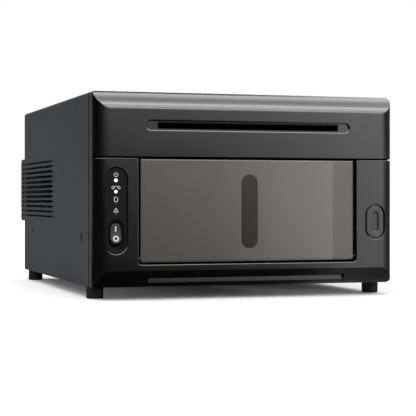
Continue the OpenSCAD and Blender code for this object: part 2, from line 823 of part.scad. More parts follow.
module case_screws() {
    color("#6d7175") from_front() {
        both_sides() {
            for (d = screw_ds) {
                rod_x(tab_x - 4, half_w - dish_deep, d, screw_z, screw_r);
                difference() {
                    rod_x(half_w - dish_deep, half_w - dish_deep + 1.6, d, screw_z, 3.2);
                    block(half_w - dish_deep + 0.8, half_w, d - 2, d + 2, screw_z - 0.4, screw_z + 0.4);
                    block(half_w - dish_deep + 0.8, half_w, d - 0.4, d + 0.4, screw_z - 2, screw_z + 2);
                }
            }
        }
        for (s = [-1, 1]) {
            for (p = [[s * (inner_w - 8), pan_top + 6], [s * (inner_w - 8), top_z - 14],
                [inlet_x + s * 20, inlet_z]]) {
                rod_y(p[0], rear_in - 4, cover_d, p[1], screw_r);
                difference() {
                    rod_y(p[0], cover_d, cover_d + 1.8, p[1], 3);
                    block(p[0] - 2, p[0] + 2, cover_d + 1, cover_d + 3, p[1] - 0.4, p[1] + 0.4);
                    block(p[0] - 0.4, p[0] + 0.4, cover_d + 1, cover_d + 3, p[1] - 2, p[1] + 2);
                }
            }
        }
    }
}

module lamp_xz(i) {
    translate([panel_x, 0, lamp_top - i * lamp_pitch]) children();
}

function lamp_size(i) = i < 2 ? lamp_r : lamp_r * 0.45;

module control_panel() {
    color("#202224") from_front() {
        difference() {
            union() {
                stadium_y(panel_x, panel_z, panel_w - 0.2, panel_h - 0.2, panel_sink, panel_seat);
                stadium_y(panel_x, panel_z, panel_w + 1.8, panel_h + 1.8, panel_seat, panel_back);
            }
            stadium_y(panel_x, well_z, well_w, well_h, -over, panel_back + over);
            for (i = [0:3]) {
                lamp_xz(i) rod_y(0, -over, panel_back + over, 0, lamp_size(i));
            }
        }
        for (z = [panel_top - 4, lamp_low + lamp_pitch / 2]) {
            rod_y(panel_x, panel_back, panel_back + 4, z, 1.6);
        }
    }
}

module status_lamps() {
    color("#e8f4d8") from_front() for (i = [0:3]) {
        lamp_xz(i) {
            rod_y(0, panel_sink + 0.2, panel_back + 4, 0, lamp_size(i));
            rod_y(0, panel_back + 2.6, panel_back + 4, 0, lamp_foot);
        }
    }
}

module lamp_board() {
    color("#1f5a36") from_front() {
        block(panel_x - 7, panel_x + 7, panel_back + 4, panel_back + 5.6,
            lamp_low - lamp_foot, panel_top - 1);
        block(panel_x - 4, panel_x + 4, panel_back + 5.6, panel_back + 10,
            lamp_top - 1.4 * lamp_pitch, lamp_top - 0.4 * lamp_pitch);
    }
}

module switch_body() {
    half = well_w / 2 + 1.5;
    color("#0e0f10") from_front() {
        difference() {
            block(panel_x - half, panel_x + half, panel_back, 24, well_z - well_h / 2 - 1.75, switch_top);
            stadium_y(panel_x, rocker_z, rocker_w + 1, rocker_h + 4, panel_back - over, rocker_d + 7);
            rod_x(panel_x - half - over, panel_x + half + over, rocker_d, rocker_z, 1 + run_gap);
        }
        for (s = [-1, 1]) {
            block(panel_x - 2.4, panel_x + 2.4, 24, 31, rocker_z + s * 7 - 0.4, rocker_z + s * 7 + 0.4);
        }
    }
}

module power_rocker() {
    rise = rocker_h / 2 * tan(rocker_tilt);
    back = 4;
    front = rocker_d - panel_sink - 1.1;
    color("#26282b") from_front() translate([panel_x, rocker_d, rocker_z]) rotate([-rocker_tilt, 0, 0]) {
        intersection() {
            plate_y(-12, back) stadium(rocker_w, rocker_h);
            plate_x(-rocker_w, rocker_w) polygon([[back, -rocker_h], [-front - rise, -rocker_h],
                [-front - rise, -rocker_h / 2], [-front, 0], [-front - rise, rocker_h / 2],
                [-front - rise, rocker_h], [back, rocker_h]]);
        }
        rod_x(-rocker_w / 2 - 2.4, rocker_w / 2 + 2.4, 0, 0, 1);
    }
}

module door_outline(inset, r) {
    x = door_w / 2 - inset;
    translate([-x, door_low + inset + r]) square([2 * x, door_top - door_low - 2 * inset - r]);
    translate([r - x, door_low + inset]) square([2 * x - 2 * r, r + 1]);
    for (s = [-1, 1]) {
        translate([s * (x - r), door_low + inset + r]) circle(r);
    }
}

module pin_holes() {
    both_sides() rod_x(door_w / 2 - 9, door_w / 2 + over, hinge_d, hinge_z, hinge_pin_r);
}

module door_face() {
    back = door_sink + door_face_t;
    color("#6d6a66") from_front() difference() {
        plate_y(door_sink, back) door_outline(0, door_corner_r);
        stadium_y(0, window_z, window_w + 0.2, window_h + 0.2, door_sink - over, back + over);
        pin_holes();
    }
}

module door_window() {
    color("#37322f") from_front()
        stadium_y(0, window_z, window_w, window_h, door_sink, door_sink + door_face_t);
}

module door_frame() {
    front = door_sink + door_face_t;
    color("#232527") from_front() difference() {
        plate_y(front, door_back) door_outline(1, door_corner_r);
        plate_y(front + 1.8, door_back + over) difference() {
            door_outline(4, 1);
            for (x = [-60, -24, 24, 60]) {
                translate([x - 0.9, 0]) square([1.8, top_z]);
            }
            for (z = [hinge_z + 26, window_z + 12]) {
                translate([-door_w, z - 0.9]) square([2 * door_w, 1.8]);
            }
            translate([door_w / 2 - 10, button_z - 8]) square([10, 16]);
            translate([-door_w, door_low]) square([2 * door_w, 8]);
        }
        stadium_y(0, window_z, window_w - 4, window_h - 4, front - over, door_back + over);
        pin_holes();
    }
}

module door_hinge_pins() {
    color("#c4c8cb") from_front() both_sides()
        rod_x(door_w / 2 - 9, open_half + wall, hinge_d, hinge_z, hinge_pin_r);
}

module door_striker() {
    x = open_half - 3.8;
    color("#c9cdd0") from_front() {
        block(x - 6, x - 2, door_back, door_back + 1.5, button_z - 7, button_z + 7);
        block(x - 4, x - 2, door_back, 20, button_z - 3.5, button_z + 3.5);
        block(x - 2, x, 17.5, 20, button_z - 3.5, button_z + 3.5);
    }
}

module door_button() {
    color("#3a3d40") from_front() difference() {
        union() {
            stadium_y(button_x, button_z, button_w, button_h, button_face, button_back);
            rod_y(button_x, 4, crank_d - 2 - 0.4, button_z, 1.2);
        }
        difference() {
            stadium_y(button_x, button_z, button_w - 3, button_h - 3, button_face + thumb_deep + 2.4,
                button_back + over);
            rod_y(button_x, 0, button_back + 2 * over, button_z, 1.2);
        }
        stadium_y(button_x + 0.4, button_z, thumb_w, thumb_h, button_face - over, button_face + thumb_deep);
    }
}

// A coil of round wire along Y
module coil(x, y0, y1, z, r, wire, turns) {
    steps = turns * 18;
    sides = 6;
    points = [for (i = [0:steps]) for (k = [0:sides - 1])
        let(a = i * 20, b = k * 360 / sides, reach = r + wire * cos(b))
        [x + reach * cos(a), y0 + wire + (y1 - y0 - 2 * wire) * i / steps + wire * sin(b),
            z + reach * sin(a)]];
    faces = [for (i = [0:steps - 1]) for (k = [0:sides - 1])
        [i * sides + k, i * sides + (k + 1) % sides, (i + 1) * sides + (k + 1) % sides,
            (i + 1) * sides + k]];
    polyhedron(points, concat(faces, [[for (k = [sides - 1:-1:0]) k]],
        [[for (k = [0:sides - 1]) steps * sides + k]]));
}

module button_spring() {
    color("#d4d8da") from_front() coil(button_x, button_face + thumb_deep + 2.4 + 0.05,
        crank_d - 8 - 0.05, button_z, 3.6, 0.45, 6);
}

module latch_crank() {
    nose_x = open_half - 3.8 + clear;
    color("#d9dcd6") from_front() difference() {
        union() {
            block(crank_x, button_x + 2, crank_d - 2, crank_d + 2, button_z - 2, button_z + 2);
            rod_z(crank_x, crank_d, button_z - 2, button_z + 2, 3.4);
            block(crank_x - 2, crank_x + 2, crank_d - 14, crank_d, button_z - 2, button_z + 2);
            block(nose_x, crank_x, crank_d - 14, crank_d - 11, button_z - 2, button_z + 2);
        }
        rod_z(crank_x, crank_d, button_z - 3, button_z + 3, screw_r + run_gap);
    }
}

module latch_bracket() {
    out = crank_t / 2 + clear;
    color("#a9aeb2") from_front() {
        for (z = [button_z - out - frame_t, button_z + out]) {
            block(crank_x - 5, frame_in, crank_d - 8, frame_front + 10, z, z + frame_t);
        }
        rod_z(crank_x, crank_d, button_z - out, button_z + out, screw_r);
        block(frame_in - frame_t, frame_in, frame_front + 3, frame_front + 10, button_z - out,
            button_z + out);
        difference() {
            block(crank_x - 5, button_x + 6, crank_d - 8, crank_d - 6.8, button_z - 7, button_z + 7);
            rod_y(button_x, crank_d - 9, crank_d, button_z, 1.6);
            block(crank_x - 6, crank_x + 3.4, crank_d - 9, crank_d, button_z - 2.6, button_z + 2.6);
        }
    }
}

module sloped(d0, d1, low, high) {
    polygon([[d0, path_z(d0) + low], [d1, path_z(d1) + low], [d1, path_z(d1) + high],
        [d0, path_z(d0) + high]]);
}

module exit_chute() {
    front = wall + 0.3;
    back = cutter_d - 8;
    ear_z = path_z(exit_d + 15) - 10;
    color("#2b2d2f") from_front() difference() {
        union() {
            plate_x(-chute_half, chute_half) sloped(front, back, -3.2 - chute_t, -3.2);
            plate_x(-chute_half, chute_half) sloped(front, back, 3.2, 3.2 + chute_t);
            both_sides() {
                plate_x(chute_half, chute_half + chute_t) sloped(front, back, -12, 12);
                block(chute_half + chute_t, frame_in, exit_d + 8, back - 4, ear_z, ear_z + frame_t);
            }
        }
        block(-chute_half, chute_half, exit_d - 6, exit_d + 6, 0, top_z);
        rod_x(-chute_half - 3, chute_half + 3, exit_d, exit_z, small_shaft_r + run_gap);
        rod_x(-chute_half - 3, chute_half + 3, exit_d, idler_z, 2 + run_gap);
    }
}

module exit_roller() {
    color("#3b3b3d") from_front() {
        rod_x(-belt_x - belt_w - 1, frame_out + 2, exit_d, exit_z, small_shaft_r);
        for (x = tyre_xs) {
            rod_x(x - 7, x + 7, exit_d, exit_z, exit_r);
        }
        rod_x(-belt_x - belt_w, -belt_x, exit_d, exit_z, exit_pulley_r);
    }
}

module exit_idler() {
    color("#9a9c9e") from_front() {
        rod_x(-chute_half - chute_t - 1, chute_half + chute_t + 1, exit_d, idler_z, 2);
        for (x = tyre_xs) {
            rod_x(x - 5, x + 5, exit_d, idler_z, idler_r);
        }
    }
}

// Outline of the belt around its two pulleys, grow outside them
function belt_points(grow) = let(
        across = [exit_d - grip_d, exit_z - grip_z], turn = atan2(across[1], across[0]),
        lean = acos((pulley_r - exit_pulley_r) / norm(across)))
    [for (e = [[0, pulley_r, turn + lean, turn + 360 - lean], [1, exit_pulley_r, turn - lean, turn + lean]])
        for (i = [0:24]) let(a = e[2] + (e[3] - e[2]) * i / 24)
            [grip_d, grip_z] + e[0] * across + (e[1] + grow) * [cos(a), sin(a)]];

module drive_belt() {
    color("#141414") from_front() plate_x(-belt_x - belt_w + 0.3, -belt_x - 0.3) difference() {
        polygon(belt_points(0.1 + belt_t));
        polygon(belt_points(0.1));
    }
}

module cutter_bed() {
    z = path_z(cutter_d);
    color("#b4b8bb") from_front() {
        block(-frame_in, frame_in, cutter_d - 4, cutter_d + 4, z - 6.5, z - 2);
        rod_x(-frame_in, frame_in, rail_d, rail_z, rail_r);
        both_sides() block(frame_in - 3, frame_in, cutter_d - 4, rail_d + 6, z - 2, rail_z + 6);
        difference() {
            block(-frame_in, frame_in, rail_d + 9.4, rail_d + 11, rail_z - 7, rail_z + 6);
            for (x = [-80:40:80]) {
                translate([x, 0, rail_z - 1]) plate_y(rail_d + 8, rail_d + 12) stadium(24, 6);
            }
        }
    }
}

module cutter_carriage() {
    z = path_z(cutter_d);
    color("#d8d9d2") from_front() difference() {
        union() {
            block(-carriage_half, carriage_half, rail_d - 8, rail_d + 8, z + 3, rail_z + 6);
            rod_y(0, cutter_d - 8, rail_d - 8, z + 8, 2);
        }
        rod_x(-carriage_half - over, carriage_half + over, rail_d, rail_z, rail_r + run_gap);
    }
}

module cutter_wheel() {
    z = path_z(cutter_d);
    color("#e3e6e8") from_front() difference() {
        union() {
            rod_y(0, cutter_d - 6, cutter_d - 4.6, z + 8, 9.4);
            rod_y(0, cutter_d - 7.6, cutter_d - 4.6, z + 8, 4);
        }
        rod_y(0, cutter_d - 10, cutter_d, z + 8, 2 + run_gap);
    }
}

module platen_roller() {
    color("#2e2f31") from_front()
        roller(platen_d, platen_z, platen_r, roller_half, platen_shaft_r, frame_out + 1.5);
}

module grip_roller() {
    color("#a8acb0") from_front() {
        roller(grip_d, grip_z, grip_r, roller_half, grip_shaft_r, frame_out + 1.5);
        rod_x(-gear_x - gear_w - 1, -frame_out, grip_d, grip_z, grip_shaft_r);
    }
}

module grip_gear() {
    color("#e6e4da") from_front() difference() {
        union() {
            gear(grip_teeth, -gear_x - gear_w, -gear_x, grip_d, grip_z, 0);
            rod_x(-gear_x, -belt_x, grip_d, grip_z, pulley_r);
        }
        rod_x(-gear_x - gear_w - over, 0, grip_d, grip_z, grip_shaft_r);
    }
}

module pinch_roller() {
    color("#8d9194") from_front()
        roller(grip_d, pinch_z, pinch_r, roller_half, small_shaft_r, frame_out + 1.5);
}

module motor(x0, x1, d, z, half, shaft_r) {
    difference() {
        intersection() {
            block(x0, x1, d - half, d + half, z - half, z + half);
            rod_x(x0, x1, d, z, half * 1.28);
        }
        rod_x(min(x0, x1) - over, max(x0, x1) + over, d, z, shaft_r + run_gap);
    }
}

module feed_motor() {
    color("#4a4d50") from_front() motor(-frame_in, -roll_bracket_x, motor_d, grip_z, 17.5, small_shaft_r);
}

module motor_pinion() {
    color("#c8a94e") from_front() {
        rod_x(-gear_x - gear_w, 2 - roll_bracket_x, motor_d, grip_z, small_shaft_r);
        gear(pinion_teeth, -gear_x - gear_w + 0.2, -gear_x + 1, motor_d, grip_z, 180 / pinion_teeth);
    }
}

module spool(d) {
    rod_x(-cassette_x - cassette_t - 2, cassette_x + cassette_t + 2, d, spool_z, 4);
    rod_x(-film_w / 2 - 2, film_w / 2 + 2, d, spool_z, 7);
    both_sides() rod_x(film_w / 2 + 0.5, film_w / 2 + 2, d, spool_z, 12);
}

module takeup_spool() {
    color("#e9e7df") from_front() spool(takeup_d);
}

module supply_spool() {
    color("#e9e7df") from_front() spool(supply_d);
}

module film_roll(d, r) {
    difference() {
        rod_x(-film_w / 2, film_w / 2, d, spool_z, r);
        rod_x(-film_w, film_w, d, spool_z, 7);
    }
}

module takeup_film() {
    color("#4a2f5e") from_front() film_roll(takeup_d, takeup_r);
}

module supply_film() {
    color("#8a2f3c") from_front() film_roll(supply_d, supply_r);
}

module takeup_gear() {
    x = cassette_x + cassette_t + 2.3;
    color("#e6e4da") from_front() {
        rod_x(x, x + 4, takeup_d, spool_z, 7);
        rod_x(x, gear_x, takeup_d, spool_z, grip_shaft_r);
        gear(takeup_teeth, belt_x, belt_x + gear_w, takeup_d, spool_z, 0);
    }
}

module ribbon_motor() {
    color("#4a4d50") from_front()
        motor(ribbon_motor_x, frame_in, ribbon_motor_d, spool_z, 11, small_shaft_r - 0.5);
}

module ribbon_pinion() {
    color("#c8a94e") from_front() {
        rod_x(ribbon_motor_x - 1, belt_x + gear_w, ribbon_motor_d, spool_z, small_shaft_r - 0.5);
        gear(ribbon_teeth, belt_x - 0.5, belt_x + gear_w - 0.3, ribbon_motor_d, spool_z,
            180 / ribbon_teeth);
    }
}

// Touching points of the ribbon that runs from a spool's film to its guide bar
function web_points(d, r, bar_d, lift) = let(
        across = [bar_d - d, bar_z - spool_z], long = norm(across),
        side = d < bar_d ? 1 : -1, turn = atan2(across[1], across[0]),
        a = turn + side * acos((r - bar_r) / long), dir = [cos(a), sin(a)])
    [[d, spool_z] + (r + lift) * dir, [bar_d, bar_z] + (bar_r + lift) * dir];

module ribbon_web() {
    under = [for (lift = [web_gap, web_gap + web_t]) concat(web_points(takeup_d, takeup_r, bar_ds[0], lift),
        [[bar_ds[0], bar_z + bar_r + lift], [bar_ds[1], bar_z + bar_r + lift]],
        [for (i = [1, 0]) web_points(supply_d, supply_r, bar_ds[1], lift)[i]])];
    color("#7a3550") from_front() plate_x(-film_w / 2, film_w / 2)
        polygon(concat(under[0], [for (i = [len(under[1]) - 1:-1:0]) under[1][i]]));
}

module cassette_side() {
    difference() {
        union() {
            translate([takeup_d - 20, ledge_z + runner_h])
                square([supply_d - takeup_d + 40, spool_z + 8 - ledge_z - runner_h]);
            for (d = [takeup_d, supply_d]) {
                translate([d, spool_z + 4]) circle(14);
            }
            for (i = [0, 1]) {
                translate([bar_ds[i] - 4, spool_z]) square([8, bar_z + 2.6 - spool_z]);
            }
        }
        translate([bar_ds[0] + 4, spool_z - 2]) square([bar_ds[1] - bar_ds[0] - 8, 30]);
    }
}

module ribbon_cassette() {
    x = cassette_x;
    color("#dfe2e4") from_front() {
        both_sides() {
            difference() {
                plate_x(x, x + cassette_t) cassette_side();
                for (d = [takeup_d, supply_d]) {
                    rod_x(x - over, x + cassette_t + over, d, spool_z, 4 + run_gap);
                }
            }
            block(x, x + cassette_t + 3, takeup_d - 20, supply_d + 20, ledge_z, ledge_z + runner_h);
        }
        for (d = bar_ds) {
            rod_x(-x, x, d, bar_z, bar_r);
        }
        for (d = [takeup_d - 20, supply_d + 16]) {
            block(-x, x, d, d + 4, ledge_z, ledge_z + 8);
        }
        block(-30, 30, takeup_d - 23, takeup_d - 20, ledge_z + 1, ledge_z + 22);
    }
}

module print_head() {
    low = head_top - 18;
    color("#9da3a8") from_front() difference() {
        union() {
            block(-78, 78, platen_d - 14, platen_d + 14, low, head_top - 4);
            block(-78, 78, platen_d - 8, platen_d + 8, head_top - 4, head_top - 1.6);
            intersection() {
                rod_x(-76, 76, platen_d, head_top - 1.6, 1.6);
                block(-78, 78, platen_d - 4, platen_d + 4, head_top - 1.6, head_top + 1);
            }
        }
        for (i = [-2:2]) {
            block(-79, 79, platen_d + i * 5.2 - 1.3, platen_d + i * 5.2 + 1.3, low - over, low + 9);
        }
    }
}

module head_carrier() {
    low = head_top - 18;
    color("#b9bec2") from_front() {
        block(-78, 78, platen_d - 14, platen_d + 14, low - 2, low);
        block(-frame_in + clear, frame_in - clear, platen_d - 8, platen_d + 8, carrier_z,
            carrier_z + guide_h);
        for (s = [-1, 1]) {
            block(s * 60 - 8, s * 60 + 8, platen_d - 6, platen_d + 6, carrier_z + guide_h, low - 2);
        }
        rod_x(-frame_out - 1, frame_out + 1, platen_d, carrier_z + guide_h / 2, 3);
    }
}

module cam_shaft() {
    color("#c2c6c9") from_front() {
        rod_x(-frame_out - 1.5, frame_in - 12, platen_d, cam_z, small_shaft_r);
        translate([0, platen_d, cam_z]) both_sides() plate_x(56, 64) polygon([
            for (a = [0:6:354]) cam_at(a) * [sin(a), cos(a)]]);
    }
}

module lift_motor() {
    half = cam_r - 0.6;
    color("#4a4d50") from_front() motor(frame_in - 26, frame_in, platen_d, cam_z, half, small_shaft_r);
}

module paper_roll() {
    color("#f2f1ec") from_front() difference() {
        rod_x(-paper_w / 2, paper_w / 2, roll_d, roll_z, roll_r);
        rod_x(-paper_w, paper_w, roll_d, roll_z, core_r);
    }
}

module roll_spindle() {
    x = paper_w / 2;
    color("#5b6066") from_front() {
        rod_x(-x, x, roll_d, roll_z, core_r - 0.02);
        both_sides() {
            rod_x(x, x + 2.5, roll_d, roll_z, roll_flange);
            rod_x(x + 2.5, roll_bracket_x + 4, roll_d, roll_z, 5);
        }
    }
}

module roll_brackets() {
    color("#a9aeb2") from_front() both_sides() {
        difference() {
            plate_x(roll_bracket_x, roll_bracket_x + 2) translate([roll_d, 0])
                polygon([[-30, pan_top], [30, pan_top], [14, roll_z + 12], [-14, roll_z + 12]]);
            rod_x(roll_bracket_x - over, roll_bracket_x + 3, roll_d, roll_z, 5 + run_gap);
            block(roll_bracket_x - over, roll_bracket_x + 3, roll_d - 5 - run_gap,
                roll_d + 5 + run_gap, roll_z, roll_z + 20);
        }
        block(roll_bracket_x + 2, roll_bracket_x + 14, roll_d - 30, roll_d + 30, pan_top, pan_top + 1.5);
    }
}

module main_board() {
    color("#1f5a36") from_front() {
        block(-board_x, board_x - 10, board_front, board_back, board_z, board_z + 1.6);
        for (x = [5 - board_x, board_x - 15]) {
            for (d = [board_front + 5, board_back - 5]) {
                rod_z(x, d, shelf_z + frame_t, board_z, 3);
            }
        }
        block(-40, -8, board_front + 60, board_front + 92, board_z + 1.6, board_z + 4);
        block(10, 26, board_front + 40, board_front + 52, board_z + 1.6, board_z + 3.4);
        block(10, 26, board_front + 60, board_front + 72, board_z + 1.6, board_z + 3.4);
        block(5 - board_x, 11 - board_x, board_front + 20, board_front + 80, board_z + 1.6, board_z + 8);
        block(35, 71, board_back - 16, board_back - 8, board_z + 1.6, board_z + 9);
        for (i = [0:4]) {
            rod_z(55, board_back - 90 + i * 14, board_z + 1.6, board_z + 9, 5);
        }
    }
}

module power_supply() {
    x0 = usb_x + 28;
    x1 = frame_in - 13;
    board = supply_front + 8.6;
    color("#9aa0a4") from_front() {
        difference() {
            block(x0, x1, supply_front, rear_in - 2, pan_top, pan_top + 46);
            block(x0 + 2, x1 - 2, supply_front + 2, rear_in + over, pan_top + 2, pan_top + 44);
        }
        block(x0 + 4, x1 - 4, board - 1.6, board, pan_top + 4, pan_top + 42);
        block(x0 + 10, x0 + 36, board, rear_in - 8, pan_top + 8, pan_top + 34);
        rod_y(x1 - 44, board, rear_in - 6, pan_top + 24, 10);
        rod_y(x1 - 20, board, rear_in - 6, pan_top + 24, 8);
        block(x0 + 2, x1 - 2, supply_front + 2, board - 1.6, pan_top + 2, pan_top + 4);
    }
}

module power_inlet() {
    color("#141516") from_front() {
        difference() {
            union() {
                block(inlet_x - 13.5, inlet_x + 13.5, rear_in - 24, cover_d, inlet_z - 10, inlet_z + 10);
                block(inlet_x - 25, inlet_x + 25, cover_d, cover_d + 2, inlet_z - 11.5, inlet_z + 11.5);
            }
            block(inlet_x - 12, inlet_x + 12, cover_d - 16, cover_d + 3, inlet_z - 8.2, inlet_z + 8.2);
            for (s = [-1, 1]) {
                rod_y(inlet_x + s * 20, cover_d - over, cover_d + 3, inlet_z, 3.2);
            }
        }
        for (p = [[0, 2.2], [-7, -1.8], [7, -1.8]]) {
            block(inlet_x + p[0] - 1, inlet_x + p[0] + 1, cover_d - 16, cover_d - 2,
                inlet_z + p[1] - 2, inlet_z + p[1] + 2);
        }
    }
}

module data_socket() {
    color("#c3c7ca") from_front() {
        difference() {
            block(usb_x - 5.8, usb_x + 5.8, rear_in - 15, cover_d + 0.6, inlet_z - 5.3, inlet_z + 5.3);
            block(usb_x - 4.4, usb_x + 4.4, rear_in - 10, cover_d + 3, inlet_z - 4, inlet_z + 4);
        }
        block(usb_x - 2.6, usb_x + 2.6, rear_in - 10, cover_d - 2, inlet_z + 2, inlet_z + 3.2);
        difference() {
            block(usb_x - 14, usb_x + 14, rear_in - 17, rear_in - 15, inlet_z - 14, inlet_z + 8);
            block(usb_x + 10, usb_x + 12, rear_in - 18, rear_in - 14, inlet_z + 4, inlet_z + 6);
        }
        block(usb_x - 14, usb_x - 8, rear_in - 15, rear_in, inlet_z - 14, inlet_z - 12);
    }
}

module fan_housing() {
    front = rear_in - fan_d;
    color("#202224") from_front() translate([fan_x, 0, cowl_z]) {
        difference() {
            block(-fan_w / 2, fan_w / 2, front, rear_in, -fan_w / 2, fan_w / 2);
            rod_y(0, front - over, rear_in + over, 0, fan_w / 2 - 1.5);
            for (x = [-1, 1]) {
                for (z = [-1, 1]) {
                    rod_y(x * (fan_w / 2 - 4), front - over, rear_in + over, z * (fan_w / 2 - 4), 2.1);
                }
            }
        }
        difference() {
            union() {
                rod_y(0, front, front + 2, 0, 13);
                block(-fan_w / 2 + 1, fan_w / 2 - 1, front, front + 2, -2, 2);
                block(-2, 2, front, front + 2, -fan_w / 2 + 1, fan_w / 2 - 1);
            }
            rod_y(0, front - over, front + 3, 0, 2 + run_gap);
        }
    }
}

module fan_rotor() {
    front = rear_in - fan_d;
    color("#2a2c2e") from_front() translate([fan_x, 0, cowl_z]) {
        rod_y(0, front, front + 4, 0, 2);
        rod_y(0, front + 3, rear_in - 1.5, 0, 12);
        for (i = [0:6]) {
            rotate([0, i * 360 / 7, 0]) translate([11, (front + rear_in) / 2 + 1, 0]) rotate([34, 0, 0])
                translate([0, -0.6, -8]) cube([fan_w / 2 - 3.2 - 11, 1.2, 16]);
        }
    }
}

base_pan();
cover();
rear_panel();
rear_cowl();
upper_shell();
lower_shell();
left_frame();
right_frame();
top_shelf();
feet();
case_screws();
control_panel();
status_lamps();
lamp_board();
switch_body();
power_rocker();
door_face();
door_window();
door_frame();
door_hinge_pins();
door_striker();
door_button();
button_spring();
latch_crank();
latch_bracket();
exit_chute();
exit_roller();
exit_idler();
drive_belt();
cutter_bed();
cutter_carriage();
cutter_wheel();
platen_roller();
grip_roller();
grip_gear();
pinch_roller();
feed_motor();
motor_pinion();
takeup_spool();
takeup_film();
takeup_gear();
supply_spool();
supply_film();
ribbon_web();
ribbon_cassette();
ribbon_motor();
ribbon_pinion();
print_head();
head_carrier();
cam_shaft();
lift_motor();
paper_roll();
roll_spindle();
roll_brackets();
main_board();
power_supply();
power_inlet();
data_socket();
fan_housing();
fan_rotor();
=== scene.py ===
import json
import math
import bmesh
import bpy
from mathutils import Matrix, Vector
from mathutils.bvhtree import BVHTree


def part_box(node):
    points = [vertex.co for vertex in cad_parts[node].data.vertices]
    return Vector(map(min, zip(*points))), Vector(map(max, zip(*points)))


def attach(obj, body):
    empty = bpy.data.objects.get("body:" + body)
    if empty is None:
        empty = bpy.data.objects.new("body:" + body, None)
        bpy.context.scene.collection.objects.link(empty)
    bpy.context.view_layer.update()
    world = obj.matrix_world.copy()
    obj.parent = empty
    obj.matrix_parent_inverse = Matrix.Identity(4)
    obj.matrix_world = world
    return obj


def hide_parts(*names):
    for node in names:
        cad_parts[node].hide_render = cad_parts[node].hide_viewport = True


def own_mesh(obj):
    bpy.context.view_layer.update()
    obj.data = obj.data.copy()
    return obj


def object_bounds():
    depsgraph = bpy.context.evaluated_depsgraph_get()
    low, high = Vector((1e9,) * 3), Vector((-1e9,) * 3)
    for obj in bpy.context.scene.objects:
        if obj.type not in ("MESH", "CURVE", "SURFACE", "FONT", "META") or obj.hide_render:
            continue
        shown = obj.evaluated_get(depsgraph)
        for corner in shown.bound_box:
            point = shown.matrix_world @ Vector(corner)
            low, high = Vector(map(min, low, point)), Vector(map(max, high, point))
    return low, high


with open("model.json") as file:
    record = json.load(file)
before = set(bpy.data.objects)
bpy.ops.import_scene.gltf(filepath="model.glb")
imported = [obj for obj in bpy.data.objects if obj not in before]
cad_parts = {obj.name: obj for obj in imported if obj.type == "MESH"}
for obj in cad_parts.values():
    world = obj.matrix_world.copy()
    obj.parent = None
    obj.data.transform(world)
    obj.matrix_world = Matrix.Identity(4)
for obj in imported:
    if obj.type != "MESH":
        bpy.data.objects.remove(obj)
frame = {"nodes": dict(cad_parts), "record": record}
cadLow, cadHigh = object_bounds()
scene = bpy.context.scene
scene.view_settings.view_transform = "Standard"
mm = 0.001
frontY = round(cadLow[1], 4)   # the plane of the front mouldings, in metres
casing = {   # in millimetres, as the frame has them
    "halfWidth": round(cadHigh[0] / mm, 2), "top": round(cadHigh[2] / mm, 2),
    "floor": round(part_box("cover")[0][2] / mm, 2),
}
past = 1          # millimetres that a cutting solid reaches beyond what it cuts
wide = 200        # half width of a block that is wider than the object
frontReach = 30   # depth of a block that is deeper than the front mouldings
white = (1, 1, 1, 1)


def at(x, depth, z):
    # millimetres, with the depth counted from the front face, as metres in the shared frame
    return Vector((x * mm, frontY + depth * mm, z * mm))


# where the photograph was taken from, in metres and degrees
photoCamera = {
    "place": (-0.38956, -1.29321, 0.08569),
    "turn": -17.385,
    "lens": 117.23,
    "shift": (0.00915, -0.02093),
}
cameraData = bpy.data.cameras.new("photoCamera")
cameraData.sensor_width = 36
cameraData.lens = photoCamera["lens"]
cameraData.shift_x, cameraData.shift_y = photoCamera["shift"]
cameraData.clip_start, cameraData.clip_end = 0.05, 60
camera = bpy.data.objects.new("photoCamera", cameraData)
camera.location = photoCamera["place"]
camera.rotation_euler = (math.radians(90), 0, math.radians(photoCamera["turn"]))
scene.collection.objects.link(camera)
scene.camera = camera
print("camera set")


class Wiring:
    def __init__(self, tree):
        self.tree = tree
        self.tree.nodes.clear()

    def add(self, kind, **values):
        node = self.tree.nodes.new(kind)
        for name, value in values.items():
            setattr(node, name, value)
        return node

    def link(self, source, target):
        self.tree.links.new(source, target)

    def give(self, value, socket):
        # an output is linked, and a number or colour is set
        if hasattr(value, "links"):
            self.link(value, socket)
        else:
            socket.default_value = value

    def maths(self, operation, *values, clamp=False):
        node = self.add("ShaderNodeMath", operation=operation, use_clamp=clamp)
        for slot, value in enumerate(values):
            self.give(value, node.inputs[slot])
        return node.outputs[0]

    def mapped(self, source, low, high, first, last, shape="LINEAR"):
        node = self.add("ShaderNodeMapRange", interpolation_type=shape)
        self.link(source, node.inputs["Value"])
        for name, value in zip(("From Min", "From Max", "To Min", "To Max"), (low, high, first, last)):
            node.inputs[name].default_value = value
        return node.outputs[0]

    def ramp(self, source, stops):
        node = self.add("ShaderNodeValToRGB")
        node.color_ramp.interpolation = "EASE"
        points = node.color_ramp.elements
        while len(points) < len(stops):
            points.new(0.5)
        for point, (place, level) in zip(points, stops):
            point.position = place
            point.color = (level, level, level, 1)
        self.link(source, node.inputs[0])
        return node.outputs[0]

    def split(self, vector):
        parts = self.add("ShaderNodeSeparateXYZ")
        self.link(vector, parts.inputs[0])
        return parts.outputs

    def blend(self, factor, first, second):
        node = self.add("ShaderNodeMix", data_type="RGBA")
        for name, value in (("Factor", factor), ("A", first), ("B", second)):
            self.give(value, node.inputs[name])
        return node.outputs["Result"]

    def source(self, kind, colour, strength):
        # a shader that gives light
        node = self.add(kind)
        self.give(colour, node.inputs["Color"])
        self.give(strength, node.inputs["Strength"])
        return node.outputs[0]

    def pick(self, ray, other, chosen):
        # the chosen shader for rays of one kind, and the other for all the rest
        node = self.add("ShaderNodeMixShader")
        path = self.add("ShaderNodeLightPath")
        for source, target in zip((path.outputs[ray], other, chosen), node.inputs):
            self.link(source, target)
        return node.outputs[0]

    def close(self, kind, shader):
        self.link(shader, self.add(kind).inputs["Surface"])


